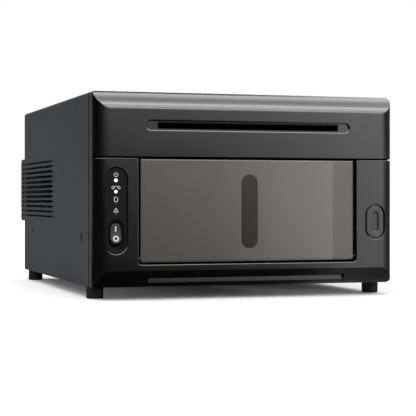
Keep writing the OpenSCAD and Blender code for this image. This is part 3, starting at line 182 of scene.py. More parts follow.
# an even dome gives the light, and what gloss mirrors is drawn around the horizon and over an arch
studio = {
    "floorTone": 0.80,        # the floor as other surfaces are lit by it
    "floorSeen": 1.22,        # the floor as the camera sees it, white wherever the shadow ends
    "floorLift": 0.058,       # the palest the contact shadow's core may be
    "underLift": 0.02,        # share of it that is left under the middle of the object
    "underFromFront": (-0.18, -0.07),   # where that share fades in, by Y
    "underFromLeft": (-0.09, 0.01),     # and by X
    "floorNear": 0.16,        # share of the horizon that the floor mirrors beside the object
    "floorMiddle": 0.78,      # and half a metre away
    "floorFar": 0.95,
    "nearRing": (0.25, 0.52),           # distances from the middle between which the shares change
    "farRing": (0.52, 4.0),
    "floorReach": 12,
    "sideBounce": 1.6,        # light that the floor beside the left wall throws back at it
    "bounceStart": (-0.14, -0.15),      # where it begins and ends, by X
    "bounceEnd": (-0.25, -0.45),
    "bounceFront": (-0.25, -0.15),      # and where it begins, by Y
    "domeLow": 0.55,          # light from the horizon
    "domeHigh": 1.45,         # light from straight above
    "mirrorGain": 6.0,
    "rightFill": 2.6,
    "rightBand": (0.28, 0.46),          # the part of a direction that is X, where the right fill begins
    "aboveBand": (0.0, 0.075),          # the part that is Z, from the horizon to what is above it
    "archBand": (0.30, 0.60),           # and from there to the arch
    # mirrored level at the horizon, by degrees to the right of straight in front
    "horizon": [(-180, 0.30), (-166, 0.07), (-133, 0.015), (-100, 0.004), (-71, 0.01), (-55, 0.02),
                (-39, 0.035), (-23, 0.06), (0, 0.10), (13, 0.16), (15, 0.22), (17.3, 0.34), (19.5, 0.52),
                (21.7, 0.80), (23.9, 1.08), (25.5, 1.30), (29, 1.25), (39, 0.92), (49, 0.63), (59, 0.37),
                (69, 0.24), (81, 0.17), (97, 0.11), (139, 0.3), (180, 0.30)],
    # and a few degrees above it
    "aboveHorizon": [(-180, 0.30), (-166, 0.07), (-133, 0.015), (-90, 0.004), (-71, 0.03), (-55, 0.11),
                     (-39, 0.28), (-23, 0.47), (0, 0.62), (13, 0.68), (15, 0.72), (17.3, 0.80), (19.5, 0.92),
                     (21.7, 1.12), (23.9, 1.50), (25.5, 1.68), (29, 1.50), (39, 0.92), (49, 0.63),
                     (59, 0.37), (69, 0.24), (81, 0.17), (97, 0.11), (139, 0.3), (180, 0.30)],
    # mirrored level over the arch, by degrees up from the front horizon and over to the back
    "arch": [(0, 0.8), (30, 1.7), (44, 2.6), (50, 3.4), (55, 4.4), (60, 5.4), (66, 6.2), (71, 5.3),
             (76, 3.4), (81, 2.2), (88, 1.85), (95, 2.1), (103, 2.6), (112, 3.2), (119, 3.4), (124, 2.8),
             (128, 0.4), (140, 0.25), (160, 0.4), (180, 0.3)],
}


def aroundLevel(w, x, y, stops):
    # the level at a direction, or at a place on the floor, by its turn from straight in front
    turn = w.maths("ARCTAN2", x, w.maths("MULTIPLY", y, -1.0))
    share = w.maths("MULTIPLY_ADD", turn, 0.5 / math.pi, 0.5)
    gain = studio["mirrorGain"]
    return w.ramp(share, [(degrees / 360 + 0.5, level / gain) for degrees, level in stops])


def buildSky(plan):
    world = bpy.data.worlds.new("studio")
    scene.world = world
    world.use_nodes = True
    w = Wiring(world.node_tree)
    gain = plan["mirrorGain"]
    x, y, z = w.split(w.add("ShaderNodeTexCoord").outputs["Generated"])
    around = w.blend(w.mapped(z, *plan["aboveBand"], 0.0, 1.0, "SMOOTHSTEP"),
                     aroundLevel(w, x, y, plan["horizon"]), aroundLevel(w, x, y, plan["aboveHorizon"]))
    height = w.maths("ARCTAN2", z, w.maths("MULTIPLY", y, -1.0))
    over = w.ramp(w.maths("MULTIPLY", height, 1 / math.pi, clamp=True),
                  [(degrees / 180, level / gain) for degrees, level in plan["arch"]])
    right = w.mapped(x, *plan["rightBand"], 0.0, plan["rightFill"] / gain, "SMOOTHSTEP")
    sky = w.blend(w.mapped(z, *plan["archBand"], 0.0, 1.0, "SMOOTHSTEP"), around,
                  w.maths("MAXIMUM", over, right))
    mirrored = w.source("ShaderNodeBackground", sky, gain)
    soft = w.source("ShaderNodeBackground", white, w.mapped(z, 0.0, 1.0, plan["domeLow"], plan["domeHigh"]))
    plain = w.source("ShaderNodeBackground", white, 1.0)
    w.close("ShaderNodeOutputWorld", w.pick("Is Camera Ray", w.pick("Is Glossy Ray", soft, mirrored), plain))


def buildFloor(plan):
    mesh = bpy.data.meshes.new("floor")
    reach = plan["floorReach"]
    mesh.from_pydata([(-reach, -reach, 0), (reach, -reach, 0), (reach, reach, 0), (-reach, reach, 0)],
                     [], [(0, 1, 2, 3)])
    floor = bpy.data.objects.new("floor", mesh)
    scene.collection.objects.link(floor)
    surface = bpy.data.materials.new("paleFloor")
    surface.use_nodes = True
    w = Wiring(surface.node_tree)
    place = w.add("ShaderNodeTexCoord").outputs["Object"]
    x, y, _ = w.split(place)
    length = w.add("ShaderNodeVectorMath", operation="LENGTH")
    w.link(place, length.inputs[0])
    away = length.outputs["Value"]

    def sheet(tone, extra):
        # a matt grey with some light of its own
        grey = w.add("ShaderNodeBsdfDiffuse")
        grey.inputs["Color"].default_value = (tone, tone, tone, 1)
        both = w.add("ShaderNodeAddShader")
        w.link(grey.outputs[0], both.inputs[0])
        w.link(w.source("ShaderNodeEmission", white, extra), both.inputs[1])
        return both.outputs[0]

    mirrorShare = w.maths("ADD", w.mapped(away, *plan["nearRing"], plan["floorNear"], plan["floorMiddle"]),
                          w.mapped(away, *plan["farRing"], 0.0, plan["floorFar"] - plan["floorMiddle"]))
    mirrorLevel = w.maths("MULTIPLY", aroundLevel(w, x, y, plan["horizon"]), mirrorShare)
    mirrored = w.source("ShaderNodeEmission", mirrorLevel, plan["mirrorGain"])
    under = w.maths("MAXIMUM", w.mapped(y, *plan["underFromFront"], 1.0, plan["underLift"]),
                    w.mapped(x, *plan["underFromLeft"], 1.0, 0.0))
    beside = w.maths("MULTIPLY", w.mapped(x, *plan["bounceStart"], 0.0, plan["sideBounce"]),
                     w.mapped(x, *plan["bounceEnd"], 1.0, 0.0))
    lit = sheet(plan["floorTone"], w.maths("MULTIPLY", beside, w.mapped(y, *plan["bounceFront"], 0.0, 1.0)))
    seen = sheet(plan["floorSeen"], w.maths("MULTIPLY", under, plan["floorLift"]))
    w.close("ShaderNodeOutputMaterial",
            w.pick("Is Camera Ray", w.pick("Is Glossy Ray", lit, mirrored), seen))
    mesh.materials.append(surface)


buildSky(studio)
buildFloor(studio)
print("studio built")


# colour is linear; patch and grain are spots per metre; relief is in thousandths of a millimetre
plainFinish = {"vary": 0.1, "patch": 60, "rough": 0.42, "roughVary": 0.06, "grain": 2600, "relief": 4,
               "metal": 0.0, "index": 1.5, "glossPatch": 2.6, "usualNoise": (0.3, 0.7)}
finishes = {
    "coverPaint": {"colour": (0.0345, 0.0415, 0.0495), "vary": 0.05, "patch": 9, "rough": 0.5,
                   "roughVary": 0.05, "grain": 1500, "relief": 20},
    "glossBlack": {"colour": (0.0022, 0.0022, 0.0024), "vary": 0.12, "patch": 14, "rough": 0.13,
                   "roughVary": 0.03, "grain": 900, "relief": 0.6, "index": 1.8},
    # painted highlight: the smoked sheet's colour is made paler towards its right end
    "smokedDoorPaintedHighlight": {"colour": (0.07, 0.066, 0.062), "vary": 0.05, "patch": 7, "rough": 0.17,
                   "roughVary": 0.03, "grain": 1200, "relief": 0.8, "index": 1.9,
                   "across": [(-98, 1.15), (-40, 1.25), (0, 1.45), (36, 1.8), (77, 2.0), (79.5, 1.15),
                              (98, 1.02)]},
    "smokedWindow": {"colour": (0.017, 0.0155, 0.014), "vary": 0.06, "patch": 20, "rough": 0.16,
                     "roughVary": 0.03, "grain": 1200, "relief": 0.8, "index": 1.6},
    "mattBlack": {"colour": (0.007, 0.007, 0.0075), "vary": 0.15, "patch": 30, "rough": 0.44,
                  "roughVary": 0.08, "relief": 12, "index": 1.36},
    "panelBlack": {"colour": (0.003, 0.003, 0.0032), "vary": 0.15, "patch": 30, "rough": 0.34,
                   "relief": 6, "index": 1.36},
    # painted shade: near-black matt for the lip behind the seam and the fill in the cover's groove
    "paintedShadeBlack": {"colour": (0.0015, 0.0015, 0.0015), "vary": 0.3, "rough": 0.85, "roughVary": 0.1,
                  "grain": 3000, "relief": 10, "index": 1.2},
    "rockerGrey": {"colour": (0.03, 0.03, 0.032), "relief": 6},
    "buttonGrey": {"colour": (0.06, 0.06, 0.061), "vary": 0.08, "patch": 40, "rough": 0.3,
                   "roughVary": 0.05, "grain": 2400, "index": 1.6},
    "footRubber": {"colour": (0.004, 0.004, 0.0045), "vary": 0.2, "rough": 0.55, "roughVary": 0.1,
                   "grain": 3000, "relief": 20},
    "zincSheet": {"colour": (0.46, 0.47, 0.48), "vary": 0.22, "rough": 0.36, "roughVary": 0.12,
                  "grain": 700, "metal": 1.0},
    "groundSteel": {"colour": (0.58, 0.58, 0.58), "vary": 0.12, "patch": 90, "rough": 0.24,
                    "roughVary": 0.08, "grain": 3000, "metal": 1.0, "streak": (0.05, 1, 1)},
    "darkSheet": {"colour": (0.01, 0.01, 0.011), "vary": 0.2, "rough": 0.6, "roughVary": 0.1,
                  "grain": 900, "metal": 0.2},
    "wireSleeve": {"colour": (0.006, 0.006, 0.007), "vary": 0.2, "patch": 200, "rough": 0.5,
                   "roughVary": 0.1},
    "filterFoam": {"colour": (0.008, 0.008, 0.0085), "vary": 0.5, "patch": 900, "rough": 0.9,
                   "roughVary": 0.05, "grain": 1600, "relief": 200, "index": 1.3},
    "blackSteel": {"colour": (0.1, 0.1, 0.105), "vary": 0.15, "patch": 200, "rough": 0.34,
                   "roughVary": 0.08, "grain": 4000, "metal": 1.0},
    "whiteMoulding": {"colour": (0.7, 0.69, 0.64), "vary": 0.05, "patch": 40, "grain": 2200, "relief": 8},
    "boardGreen": {"colour": (0.018, 0.1, 0.045), "vary": 0.45, "patch": 420, "rough": 0.34,
                   "roughVary": 0.1, "grain": 800, "relief": 30},
    "motorPaint": {"colour": (0.06, 0.065, 0.07), "vary": 0.12, "rough": 0.4, "roughVary": 0.1,
                   "grain": 1800, "relief": 10, "metal": 0.6},
    "brass": {"colour": (0.62, 0.43, 0.16), "vary": 0.12, "patch": 90, "rough": 0.28, "roughVary": 0.08,
              "relief": 6, "metal": 1.0},
    "headAlloy": {"colour": (0.5, 0.52, 0.54), "rough": 0.32, "roughVary": 0.08, "grain": 2400,
                  "relief": 8, "metal": 1.0, "streak": (0.03, 1, 1)},
    "dyeFilm": {"colour": (0.16, 0.03, 0.07), "vary": 0.4, "patch": 45, "rough": 0.16, "roughVary": 0.05,
                "grain": 900, "streak": (0.02, 1, 1)},
    "coatedPaper": {"colour": (0.86, 0.85, 0.82), "vary": 0.04, "patch": 500, "rough": 0.45,
                    "roughVary": 0.05, "relief": 6, "streak": (0.02, 1, 1)},
    "greyHub": {"colour": (0.09, 0.1, 0.12), "patch": 40, "grain": 2400, "relief": 10},
    "whiteInk": {"colour": (0.8, 0.8, 0.8), "vary": 0.05, "patch": 900, "rough": 0.5, "roughVary": 0.08,
                 "grain": 4000, "relief": 2},
    "lampGreen": {"colour": (0.85, 0.95, 0.72), "vary": 0.05, "patch": 700, "rough": 0.25,
                  "roughVary": 0.04, "relief": 2, "glow": ((0.85, 1.0, 0.66), 1.1)},
    "lampAmber": {"colour": (0.95, 0.8, 0.62), "vary": 0.05, "patch": 700, "rough": 0.25,
                  "roughVary": 0.04, "relief": 2, "glow": ((1.0, 0.74, 0.52), 0.95)},
    "lampOff": {"colour": (0.16, 0.16, 0.16), "patch": 700, "rough": 0.25, "roughVary": 0.04,
                "relief": 2},
}
madeFinishes = {}


def makeFinish(name):
    if name in madeFinishes:
        return madeFinishes[name]
    look = {**plainFinish, **finishes[name]}
    material = bpy.data.materials.new(name)
    material.use_nodes = True
    w = Wiring(material.node_tree)
    place = w.add("ShaderNodeTexCoord").outputs["Object"]
    if "streak" in look:
        turned = w.add("ShaderNodeMapping")
        turned.inputs["Scale"].default_value = look["streak"]
        w.link(place, turned.inputs["Vector"])
        place = turned.outputs[0]

    def cloud(scale, detail):
        noise = w.add("ShaderNodeTexNoise")
        noise.inputs["Scale"].default_value = scale
        noise.inputs["Detail"].default_value = detail
        w.link(place, noise.inputs["Vector"])
        return noise.outputs["Fac"]

    darker, paler = [(*[min(c * (1 + vary), 1) for c in look["colour"]], 1)
                     for vary in (-look["vary"], look["vary"])]
    colour = w.blend(cloud(look["patch"], 5), darker, paler)
    # painted highlight: a ramp along X scales the base colour up where it peaks
    if "across" in look:
        (first, *_), (last, *_) = look["across"][0], look["across"][-1]
        highlightPeak = max(level for _, level in look["across"])
        share = w.mapped(w.split(place)[0], first * mm, last * mm, 0.0, 1.0)
        level = w.ramp(share, [((x - first) / (last - first), level / highlightPeak)
                               for x, level in look["across"]])
        scaled = w.add("ShaderNodeVectorMath", operation="SCALE")
        w.link(colour, scaled.inputs[0])
        w.link(w.maths("MULTIPLY", level, highlightPeak), scaled.inputs["Scale"])
        colour = scaled.outputs[0]
    shader = w.add("ShaderNodeBsdfPrincipled")
    w.link(colour, shader.inputs["Base Color"])
    rough, either = look["rough"], look["roughVary"]
    gloss = cloud(look["patch"] * look["glossPatch"], 3)
    w.link(w.mapped(gloss, *look["usualNoise"], rough - either, rough + either), shader.inputs["Roughness"])
    bump = w.add("ShaderNodeBump")
    bump.inputs["Strength"].default_value = 1.0
    bump.inputs["Distance"].default_value = look["relief"] * mm * mm
    w.link(cloud(look["grain"], 2), bump.inputs["Height"])
    w.link(bump.outputs[0], shader.inputs["Normal"])
    shader.inputs["Metallic"].default_value = look["metal"]
    shader.inputs["IOR"].default_value = look["index"]
    if "glow" in look:
        colour, strength = look["glow"]
        shader.inputs["Emission Color"].default_value = (*colour, 1)
        shader.inputs["Emission Strength"].default_value = strength
    w.close("ShaderNodeOutputMaterial", shader.outputs[0])
    madeFinishes[name] = material
    return material


nodeFinish = {
    "coverPaint": ["cover", "rear_panel", "rear_cowl"],
    "glossBlack": ["upper_shell", "lower_shell"],
    "smokedDoorPaintedHighlight": ["door_face"],
    "smokedWindow": ["door_window"],
    "panelBlack": ["control_panel"],
    "mattBlack": ["switch_body", "door_frame", "exit_chute", "power_inlet", "fan_housing", "fan_rotor"],
    "rockerGrey": ["power_rocker"],
    "buttonGrey": ["door_button"],
    "lampOff": ["status_lamps"],
    "boardGreen": ["lamp_board", "main_board"],
    "whiteMoulding": ["latch_crank", "grip_gear", "takeup_gear", "takeup_spool", "supply_spool",
                      "ribbon_cassette", "cutter_carriage"],
    "groundSteel": ["door_striker", "button_spring", "cutter_wheel", "grip_roller", "pinch_roller",
                    "cam_shaft", "exit_idler", "data_socket"],
    "blackSteel": ["case_screws", "door_hinge_pins"],
    "footRubber": ["feet", "exit_roller", "drive_belt", "platen_roller"],
    "motorPaint": ["feed_motor", "ribbon_motor", "lift_motor"],
    "brass": ["motor_pinion", "ribbon_pinion"],
    "headAlloy": ["print_head"],
    "dyeFilm": ["takeup_film", "supply_film", "ribbon_web"],
    "coatedPaper": ["paper_roll"],
    "greyHub": ["roll_spindle"],
    "darkSheet": ["left_frame", "right_frame"],
    "zincSheet": ["base_pan", "top_shelf", "latch_bracket", "roll_brackets", "head_carrier", "cutter_bed",
                  "power_supply"],
}
finishOfNode = {node: finish for finish, nodes in nodeFinish.items() for node in nodes}
bodyOfNode = {n: body for body, members in frame["record"]["behaviour"]["bodies"].items() for n in members}
for node, piece in frame["nodes"].items():
    piece.data.materials.clear()
    piece.data.materials.append(makeFinish(finishOfNode[node]))
print("finishes made:", len(madeFinishes))


# outlines are lists of points in millimetres
def arc(x, y, radius, start, end, steps=20):
    turns = [math.radians(start + (end - start) * i / steps) for i in range(steps + 1)]
    return [(x + radius * math.cos(turn), y + radius * math.sin(turn)) for turn in turns]


def roundOutline(x, y, radius, count):
    return arc(x, y, radius, 0, 360 - 360 / count, count - 1)


def rect(x0, x1, y0, y1):
    return [(x0, y0), (x1, y0), (x1, y1), (x0, y1)]


def roundRect(x0, x1, y0, y1, r, steps=10):
    return (arc(x1 - r, y0 + r, r, -90, 0, steps) + arc(x1 - r, y1 - r, r, 0, 90, steps)
            + arc(x0 + r, y1 - r, r, 90, 180, steps) + arc(x0 + r, y0 + r, r, 180, 270, steps))


def stadium(x, z, width, height, steps=24):
    r = min(width, height) / 2
    if width < height:
        reach = height / 2 - r
        return arc(x, z + reach, r, 0, 180, steps) + arc(x, z - reach, r, 180, 360, steps)
    reach = width / 2 - r
    return arc(x + reach, z, r, -90, 90, steps) + arc(x - reach, z, r, 90, 270, steps)


def disc(x, z, diameter):
    # a hair longer than wide, as a stadium has to be
    return stadium(x, z, diameter, diameter + 0.001)


def loft(rings):
    # a closed solid through rings of points, with both ends filled
    grid = bmesh.new()
    rows = [[grid.verts.new(p) for p in ring] for ring in rings]
    for near, far in zip(rows, rows[1:]):
        for i in range(len(near)):
            j = (i + 1) % len(near)
            grid.faces.new((near[i], near[j], far[j], far[i]))
    grid.faces.new(rows[0])
    grid.faces.new(rows[-1])
    bmesh.ops.remove_doubles(grid, verts=grid.verts, dist=1e-7)
    bmesh.ops.recalc_face_normals(grid, faces=grid.faces)
    mesh = bpy.data.meshes.new("solid")
    grid.to_mesh(mesh)
    grid.free()
    return mesh


# each draws a closed outline from one place to another: along X, from front to back, or upwards
def drawX(outline, x0, x1):
    return loft([[at(x, d, z) for d, z in outline] for x in (x0, x1)])


def drawY(outline, d0, d1):
    return loft([[at(x, d, z) for x, z in outline] for d in (d0, d1)])


def drawZ(outline, z0, z1):
    return loft([[at(x, d, z) for x, d in outline] for z in (z0, z1)])


def box(x0, x1, d0, d1, z0, z1):
    return drawY(rect(x0, x1, z0, z1), d0, d1)


def tubeX(x0, x1, depth, z, r, steps=32):
    return drawX(roundOutline(depth, z, r, steps), x0, x1)


def slab(z0, z1):
    # all of the front between two heights
    return box(-wide, wide, -past, frontReach, z0, z1)


def gather(*meshes):
    grid = bmesh.new()
    for mesh in meshes:
        grid.from_mesh(mesh)
    mesh = bpy.data.meshes.new("solids")
    grid.to_mesh(mesh)
    grid.free()
    return mesh


def working(mesh):
    piece = bpy.data.objects.new("working", mesh)
    scene.collection.objects.link(piece)
    return piece


def plainMesh(piece):
    # the evaluated shape as a mesh of its own, with the working object taken away
    bpy.context.view_layer.update()
    graph = bpy.context.evaluated_depsgraph_get()
    mesh = bpy.data.meshes.new_from_object(piece.evaluated_get(graph), depsgraph=graph)
    bpy.data.objects.remove(piece)
    return mesh


def combine(base, operation, *tools):
    for tool in tools:
        target, other = working(base), working(tool)
        step = target.modifiers.new("step", "BOOLEAN")
        step.operation = operation
        step.solver = "MANIFOLD"
        step.object = other
        base = plainMesh(target)
        bpy.data.objects.remove(other)
    return base


def carve(base, *tools):
    return combine(base, "DIFFERENCE", *tools)


def join(base, *tools):
    return combine(base, "UNION", *tools)


def common(base, *tools):
    return combine(base, "INTERSECT", *tools)


def clean(mesh, flat=0.3):
    grid = bmesh.new()
    grid.from_mesh(mesh)
    bmesh.ops.remove_doubles(grid, verts=grid.verts, dist=4e-6)
    bmesh.ops.dissolve_limit(grid, angle_limit=math.radians(flat), use_dissolve_boundaries=False,
                             verts=grid.verts, edges=grid.edges, delimit=set())
    bmesh.ops.recalc_face_normals(grid, faces=grid.faces)
    grid.to_mesh(mesh)
    grid.free()
    return mesh


def finishEdges(mesh, width, angle=30, segments=2, clamp=False, crisp=50, leave=()):
    # rounds every sharp edge outside the spaces to leave, and shades flats flat and sharp edges crisp
    mesh.polygons.foreach_set("use_smooth", [True] * len(mesh.polygons))
    piece = working(mesh)
    if width:
        grid = bmesh.new()
        grid.from_mesh(mesh)
        surface = BVHTree.FromBMesh(grid)
        share = grid.edges.layers.float.new("bevel_weight_edge")
        for edge in grid.edges:
            middle = (edge.verts[0].co + edge.verts[1].co) / 2
            left = any(all(low < c < high for c, low, high in zip(middle, *area)) for area in leave)
            edge[share] = float(edge.calc_face_angle(0) > math.radians(angle) and not left)
        grid.to_mesh(mesh)
        grid.free()
        bevel = piece.modifiers.new("edge", "BEVEL")
        bevel.width = width * mm
        bevel.segments = segments
        bevel.limit_method = "WEIGHT"
        bevel.use_clamp_overlap = clamp
        bevel.miter_outer = "MITER_SHARP"
        bevel.loop_slide = True
        mesh = plainMesh(piece)
        furthest = 0.8 * width * mm
        for point in mesh.vertices:
            # a point that the rounding threw off the shape goes back onto it
            nearest, _, _, away = surface.find_nearest(point.co)
            if away > furthest:
                point.co = nearest
        piece = working(mesh)
    mesh.set_sharp_from_angle(angle=math.radians(crisp))
    even = piece.modifiers.new("even", "WEIGHTED_NORMAL")
    even.mode = "FACE_AREA"
    even.weight = 100
    even.keep_sharp = True
    return plainMesh(piece)


def newPiece(name, mesh, body, finish, standsFor=()):
    piece = bpy.data.objects.new(name, mesh)
    scene.collection.objects.link(piece)
    mesh.materials.clear()
    mesh.materials.append(makeFinish(finish))
    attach(piece, body)
    if standsFor:
        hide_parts(*standsFor)
    return piece


def dressNode(node, mesh):
    return newPiece(node + "Made", mesh, bodyOfNode[node], finishOfNode[node], (node,))


# Geometry Nodes: copies in a row, and tubes along a path
def newTree(name, sockets):
    tree = bpy.data.node_groups.new(name, "GeometryNodeTree")
    names = {}
    for label, kind in [("Geometry", "Geometry"), *sockets, ("Material", "Material")]:
        socket = tree.interface.new_socket(name=label, in_out="INPUT", socket_type="NodeSocket" + kind)
        names[label] = socket.identifier
    tree.interface.new_socket(name="Geometry", in_out="OUTPUT", socket_type="NodeSocketGeometry")
    w = Wiring(tree)
    return tree, names, w, w.add("NodeGroupInput").outputs


def closeTree(w, geometry, given):
    real = w.add("GeometryNodeRealizeInstances")
    w.link(geometry, real.inputs[0])
    paint = w.add("GeometryNodeSetMaterial")
    w.link(real.outputs[0], paint.inputs["Geometry"])
    w.link(given["Material"], paint.inputs["Material"])
    w.link(paint.outputs[0], w.add("NodeGroupOutput").inputs[0])


def makeRowTree():
    # copies of one solid at an even pitch, each as high as its place in the row asks, turned at random
    tree, names, w, given = newTree("row", [("Count", "Int"), ("Pitch", "Vector"), ("Lowest", "Float"),
                                            ("Swell", "Float"), ("Turn", "Float"), ("Seed", "Int")])
    line = w.add("GeometryNodeMeshLine")
    w.link(given["Count"], line.inputs["Count"])
    w.link(given["Pitch"], line.inputs["Offset"])
    last = w.maths("MAXIMUM", w.maths("SUBTRACT", given["Count"], 1.0), 1.0)
    share = w.maths("DIVIDE", w.add("GeometryNodeInputIndex").outputs[0], last)
    wave = w.maths("SINE", w.maths("MULTIPLY", share, math.pi))
    scale = w.add("ShaderNodeCombineXYZ")
    scale.inputs[0].default_value = 1
    scale.inputs[1].default_value = 1
    w.link(w.maths("MULTIPLY_ADD", wave, given["Swell"], given["Lowest"]), scale.inputs[2])
    chance = w.add("FunctionNodeRandomValue", data_type="FLOAT")
    w.link(given["Turn"], chance.inputs[3])
    w.link(given["Seed"], chance.inputs["Seed"])
    turn = w.add("ShaderNodeCombineXYZ")
    w.link(chance.outputs[1], turn.inputs[2])
    copies = w.add("GeometryNodeInstanceOnPoints")
    for source, name in ((line.outputs["Mesh"], "Points"), (given["Geometry"], "Instance"),
                         (turn.outputs[0], "Rotation"), (scale.outputs[0], "Scale")):
        w.link(source, copies.inputs[name])
    closeTree(w, copies.outputs[0], given)
    return tree, names


def makeTubeTree():
    # a round tube along every line of the mesh that is given
    tree, names, w, given = newTree("tube", [("Radius", "Float"), ("Sides", "Int")])
    curve = w.add("GeometryNodeMeshToCurve")
    w.link(given["Geometry"], curve.inputs["Mesh"])
    ring = w.add("GeometryNodeCurvePrimitiveCircle")
    w.link(given["Sides"], ring.inputs["Resolution"])
    w.link(given["Radius"], ring.inputs["Radius"])
    tube = w.add("GeometryNodeCurveToMesh")
    w.link(curve.outputs[0], tube.inputs["Curve"])
    w.link(ring.outputs[0], tube.inputs["Profile Curve"])
    tube.inputs["Fill Caps"].default_value = True
    closeTree(w, tube.outputs[0], given)
    return tree, names


rowTree = makeRowTree()
tubeTree = makeTubeTree()


def grown(mesh, treeAndNames, finish, **values):
    tree, names = treeAndNames
    piece = working(mesh)
    growth = piece.modifiers.new("growth", "NODES")
    growth.node_group = tree
    growth[names["Material"]] = makeFinish(finish)
    for label, value in values.items():
        growth[names[label]] = value
    return plainMesh(piece)


def row(mesh, finish, count, pitch, lowest=1.0, swell=0.0, turn=0.0, seed=1):
    return grown(mesh, rowTree, finish, Count=count, Pitch=[p * mm for p in pitch], Lowest=lowest,
                 Swell=swell, Turn=turn, Seed=seed)


def moved(mesh, place, turn=0.0, axis="Z"):
    # a mesh made about its own origin, turned by degrees and set down at millimetres in the shared frame
    mesh.transform(Matrix.Translation(Vector(place) * mm) @ Matrix.Rotation(math.radians(turn), 4, axis))
    return mesh


def rise(outline, z0, z1):
    return loft([[Vector((x, y, z)) * mm for x, y in outline] for z in (z0, z1)])


def turnedSolid(profile, steps=48):
    # a solid of revolution about Z, from radii and heights
    return loft([[Vector((x, y, z)) * mm for x, y in roundOutline(0, 0, r, steps)] for r, z in profile])


front = {
    "depth": 16.0, "wall": 2.5, "cornerRadius": 13.0, "bendRadius": 3.0, "edge": 0.6, "sharp": 24,
    "topBevel": (16.0, 15.6), "lowBevel": (14.0, 14.0), "bevelSweep": 45.0,   # depth and height of each
    "tongue": (1.5, 1.0, 15.0, 22.2),   # inset, thickness, and from where to where
    "tongueCorners": (1.8, 1.0),
    "seamLow": 120.5, "seamHigh": 121.7,
    "lip": (1.8, 1.2), "lipLap": 0.5, "lipGap": 0.1,   # the lip that fills the seam: inset and thickness
    "slotMiddle": 148.9, "slotSize": (185.0, 6.6), "slotSink": 1.6, "slotRim": 2.3, "slotRimArc": (12, 68),
    "slotDrop": 0.3,
    "mouthSize": (166.0, 6.0), "mouthCorner": 0.9, "mouthDepth": 5.0,
    "doorNotch": (109.0, 6.0, 4.0),     # half width, depth and height of the room above the door
    "openHalf": 99.7, "openLow": 30.2, "openCorner": 2.5, "openRim": 0.9,
    "panel": (-119.4, 75.9, 19.1, 73.0),   # middle by X and Z, width and height
    "panelSeat": 3.2, "panelBack": 4.8, "panelFlange": 2.0, "panelRim": 0.9, "panelPad": (12.0, 4.0),
    "button": (118.5, 65.5, 16.4, 28.6), "buttonGap": 1.2, "buttonRim": 0.8,
    "buttonGuide": (0.6, 4.6, 11.0),    # play inside, size outside and depth of the guide behind the wall
    "latchWindow": (11.0, 5.0),         # depth at which it begins, and half its height
    "scoopHalf": 90.0, "scoopTop": 19.5, "scoopDepth": 8.5, "scoopDraft": 1.3, "scoopEase": 0.9,
    "rimMargin": 3.0,
}


def bevelArc(width, height, inset, steps=28):
    # the domed bevel from the front face up to the top face, as depth and drop below the top
    sweep = math.radians(front["bevelSweep"])
    chord = math.hypot(width, height)
    radius = chord / 2 / math.sin(sweep / 2)
    reach = radius * math.cos(sweep / 2)
    x, z = width / 2 + reach * height / chord, -height / 2 - reach * width / chord
    r = radius - inset
    # from where the arc meets the front face to where it meets the top face
    start, end = math.acos((inset - x) / r), math.asin((-inset - z) / r)
    return arc(x, z, r, math.degrees(start), math.degrees(end), steps)


def frontBlock(inset, back):
    f = front
    half, low, high = casing["halfWidth"] - inset, casing["floor"] + inset, casing["top"] - inset
    upper = [(d, casing["top"] + z) for d, z in bevelArc(*f["topBevel"], inset)]
    lower = [(d, casing["floor"] - z) for d, z in bevelArc(*f["lowBevel"], inset)]
    profile = [(back, high)] + upper[::-1] + lower + [(back, low)]
    corner = f["cornerRadius"]
    inner = casing["halfWidth"] - corner
    plan = (arc(-inner, corner, corner - inset, 180, 270) + arc(inner, corner, corner - inset, 270, 360)
            + [(half, back), (-half, back)])
    side = roundRect(-half, half, low, high, max(f["bendRadius"] - inset, 0.5))
    block = drawX(profile, -half, half)
    return common(block, drawZ(plan, low - past, high + past), drawY(side, inset - past, back + past))


def tongueRing(z0, z1):
    # the edge of the shell that slips inside the cover
    inset, thick, start, end = front["tongue"]
    outer, inner = front["tongueCorners"]
    half, low, high = casing["halfWidth"] - inset, casing["floor"] + inset, casing["top"] - inset
    hole = roundRect(thick - half, half - thick, low + thick, high - thick, inner)
    ring = carve(drawY(roundRect(-half, half, low, high, outer), start, end),
                 drawY(hole, start - past, end + past))
    return common(ring, box(-half - past, half + past, start - past, end + past, z0, z1))


def flare(x, z, width, height, radius, first=0, last=90, steps=6):
    # the rounded lip of a stadium hole in the front face, as a tool to cut with
    start, end = math.radians(first), math.radians(last)
    turns = [start + (end - start) * i / steps for i in range(steps + 1)]
    rings = [(radius * (math.cos(start) - math.cos(turn)), radius * (math.sin(end) - math.sin(turn)))
             for turn in turns]
    rings = [(-past, rings[0][1])] + rings
    return loft([[at(px, d, pz) for px, pz in stadium(x, z, width + 2 * grow, height + 2 * grow)]
                 for d, grow in rings])


def space(x0, x1, z0, z1, depth):
    # the corners of a part of the front, from before its face to a depth
    return at(x0, -past, z0), at(x1, depth, z1)


def makeUpperShell():
    f = front
    z, wall, seam = f["slotMiddle"], f["wall"], f["seamHigh"]
    notchHalf, notchDepth, notchHeight = f["doorNotch"]
    shell = common(frontBlock(0, f["depth"]), slab(seam, wide))
    shell = carve(shell, common(frontBlock(wall, f["depth"] + past), slab(seam + wall, wide)),
                  box(-notchHalf, notchHalf, notchDepth, f["depth"] + past, seam - past, seam + notchHeight))
    w, h = f["slotSize"]
    mw, mh = f["mouthSize"]
    mouth = roundRect(-mw / 2, mw / 2, z - mh / 2, z + mh / 2, f["mouthCorner"])
    shell = carve(shell, drawY(stadium(0, z, w, h), -past, f["slotSink"]),
                  drawY(mouth, -past, f["mouthDepth"]),
                  flare(0, z - f["slotDrop"], w, h, f["slotRim"], *f["slotRimArc"]))
    # the slot has its own rounded rim
    slotSpace = space(-w / 2 - 4, w / 2 + 4, z - h - 2, z + h + 2, 8)
    shell = clean(join(shell, tongueRing(seam, wide)))
    dressNode("upper_shell", finishEdges(shell, f["edge"], f["sharp"], leave=[slotSpace]))


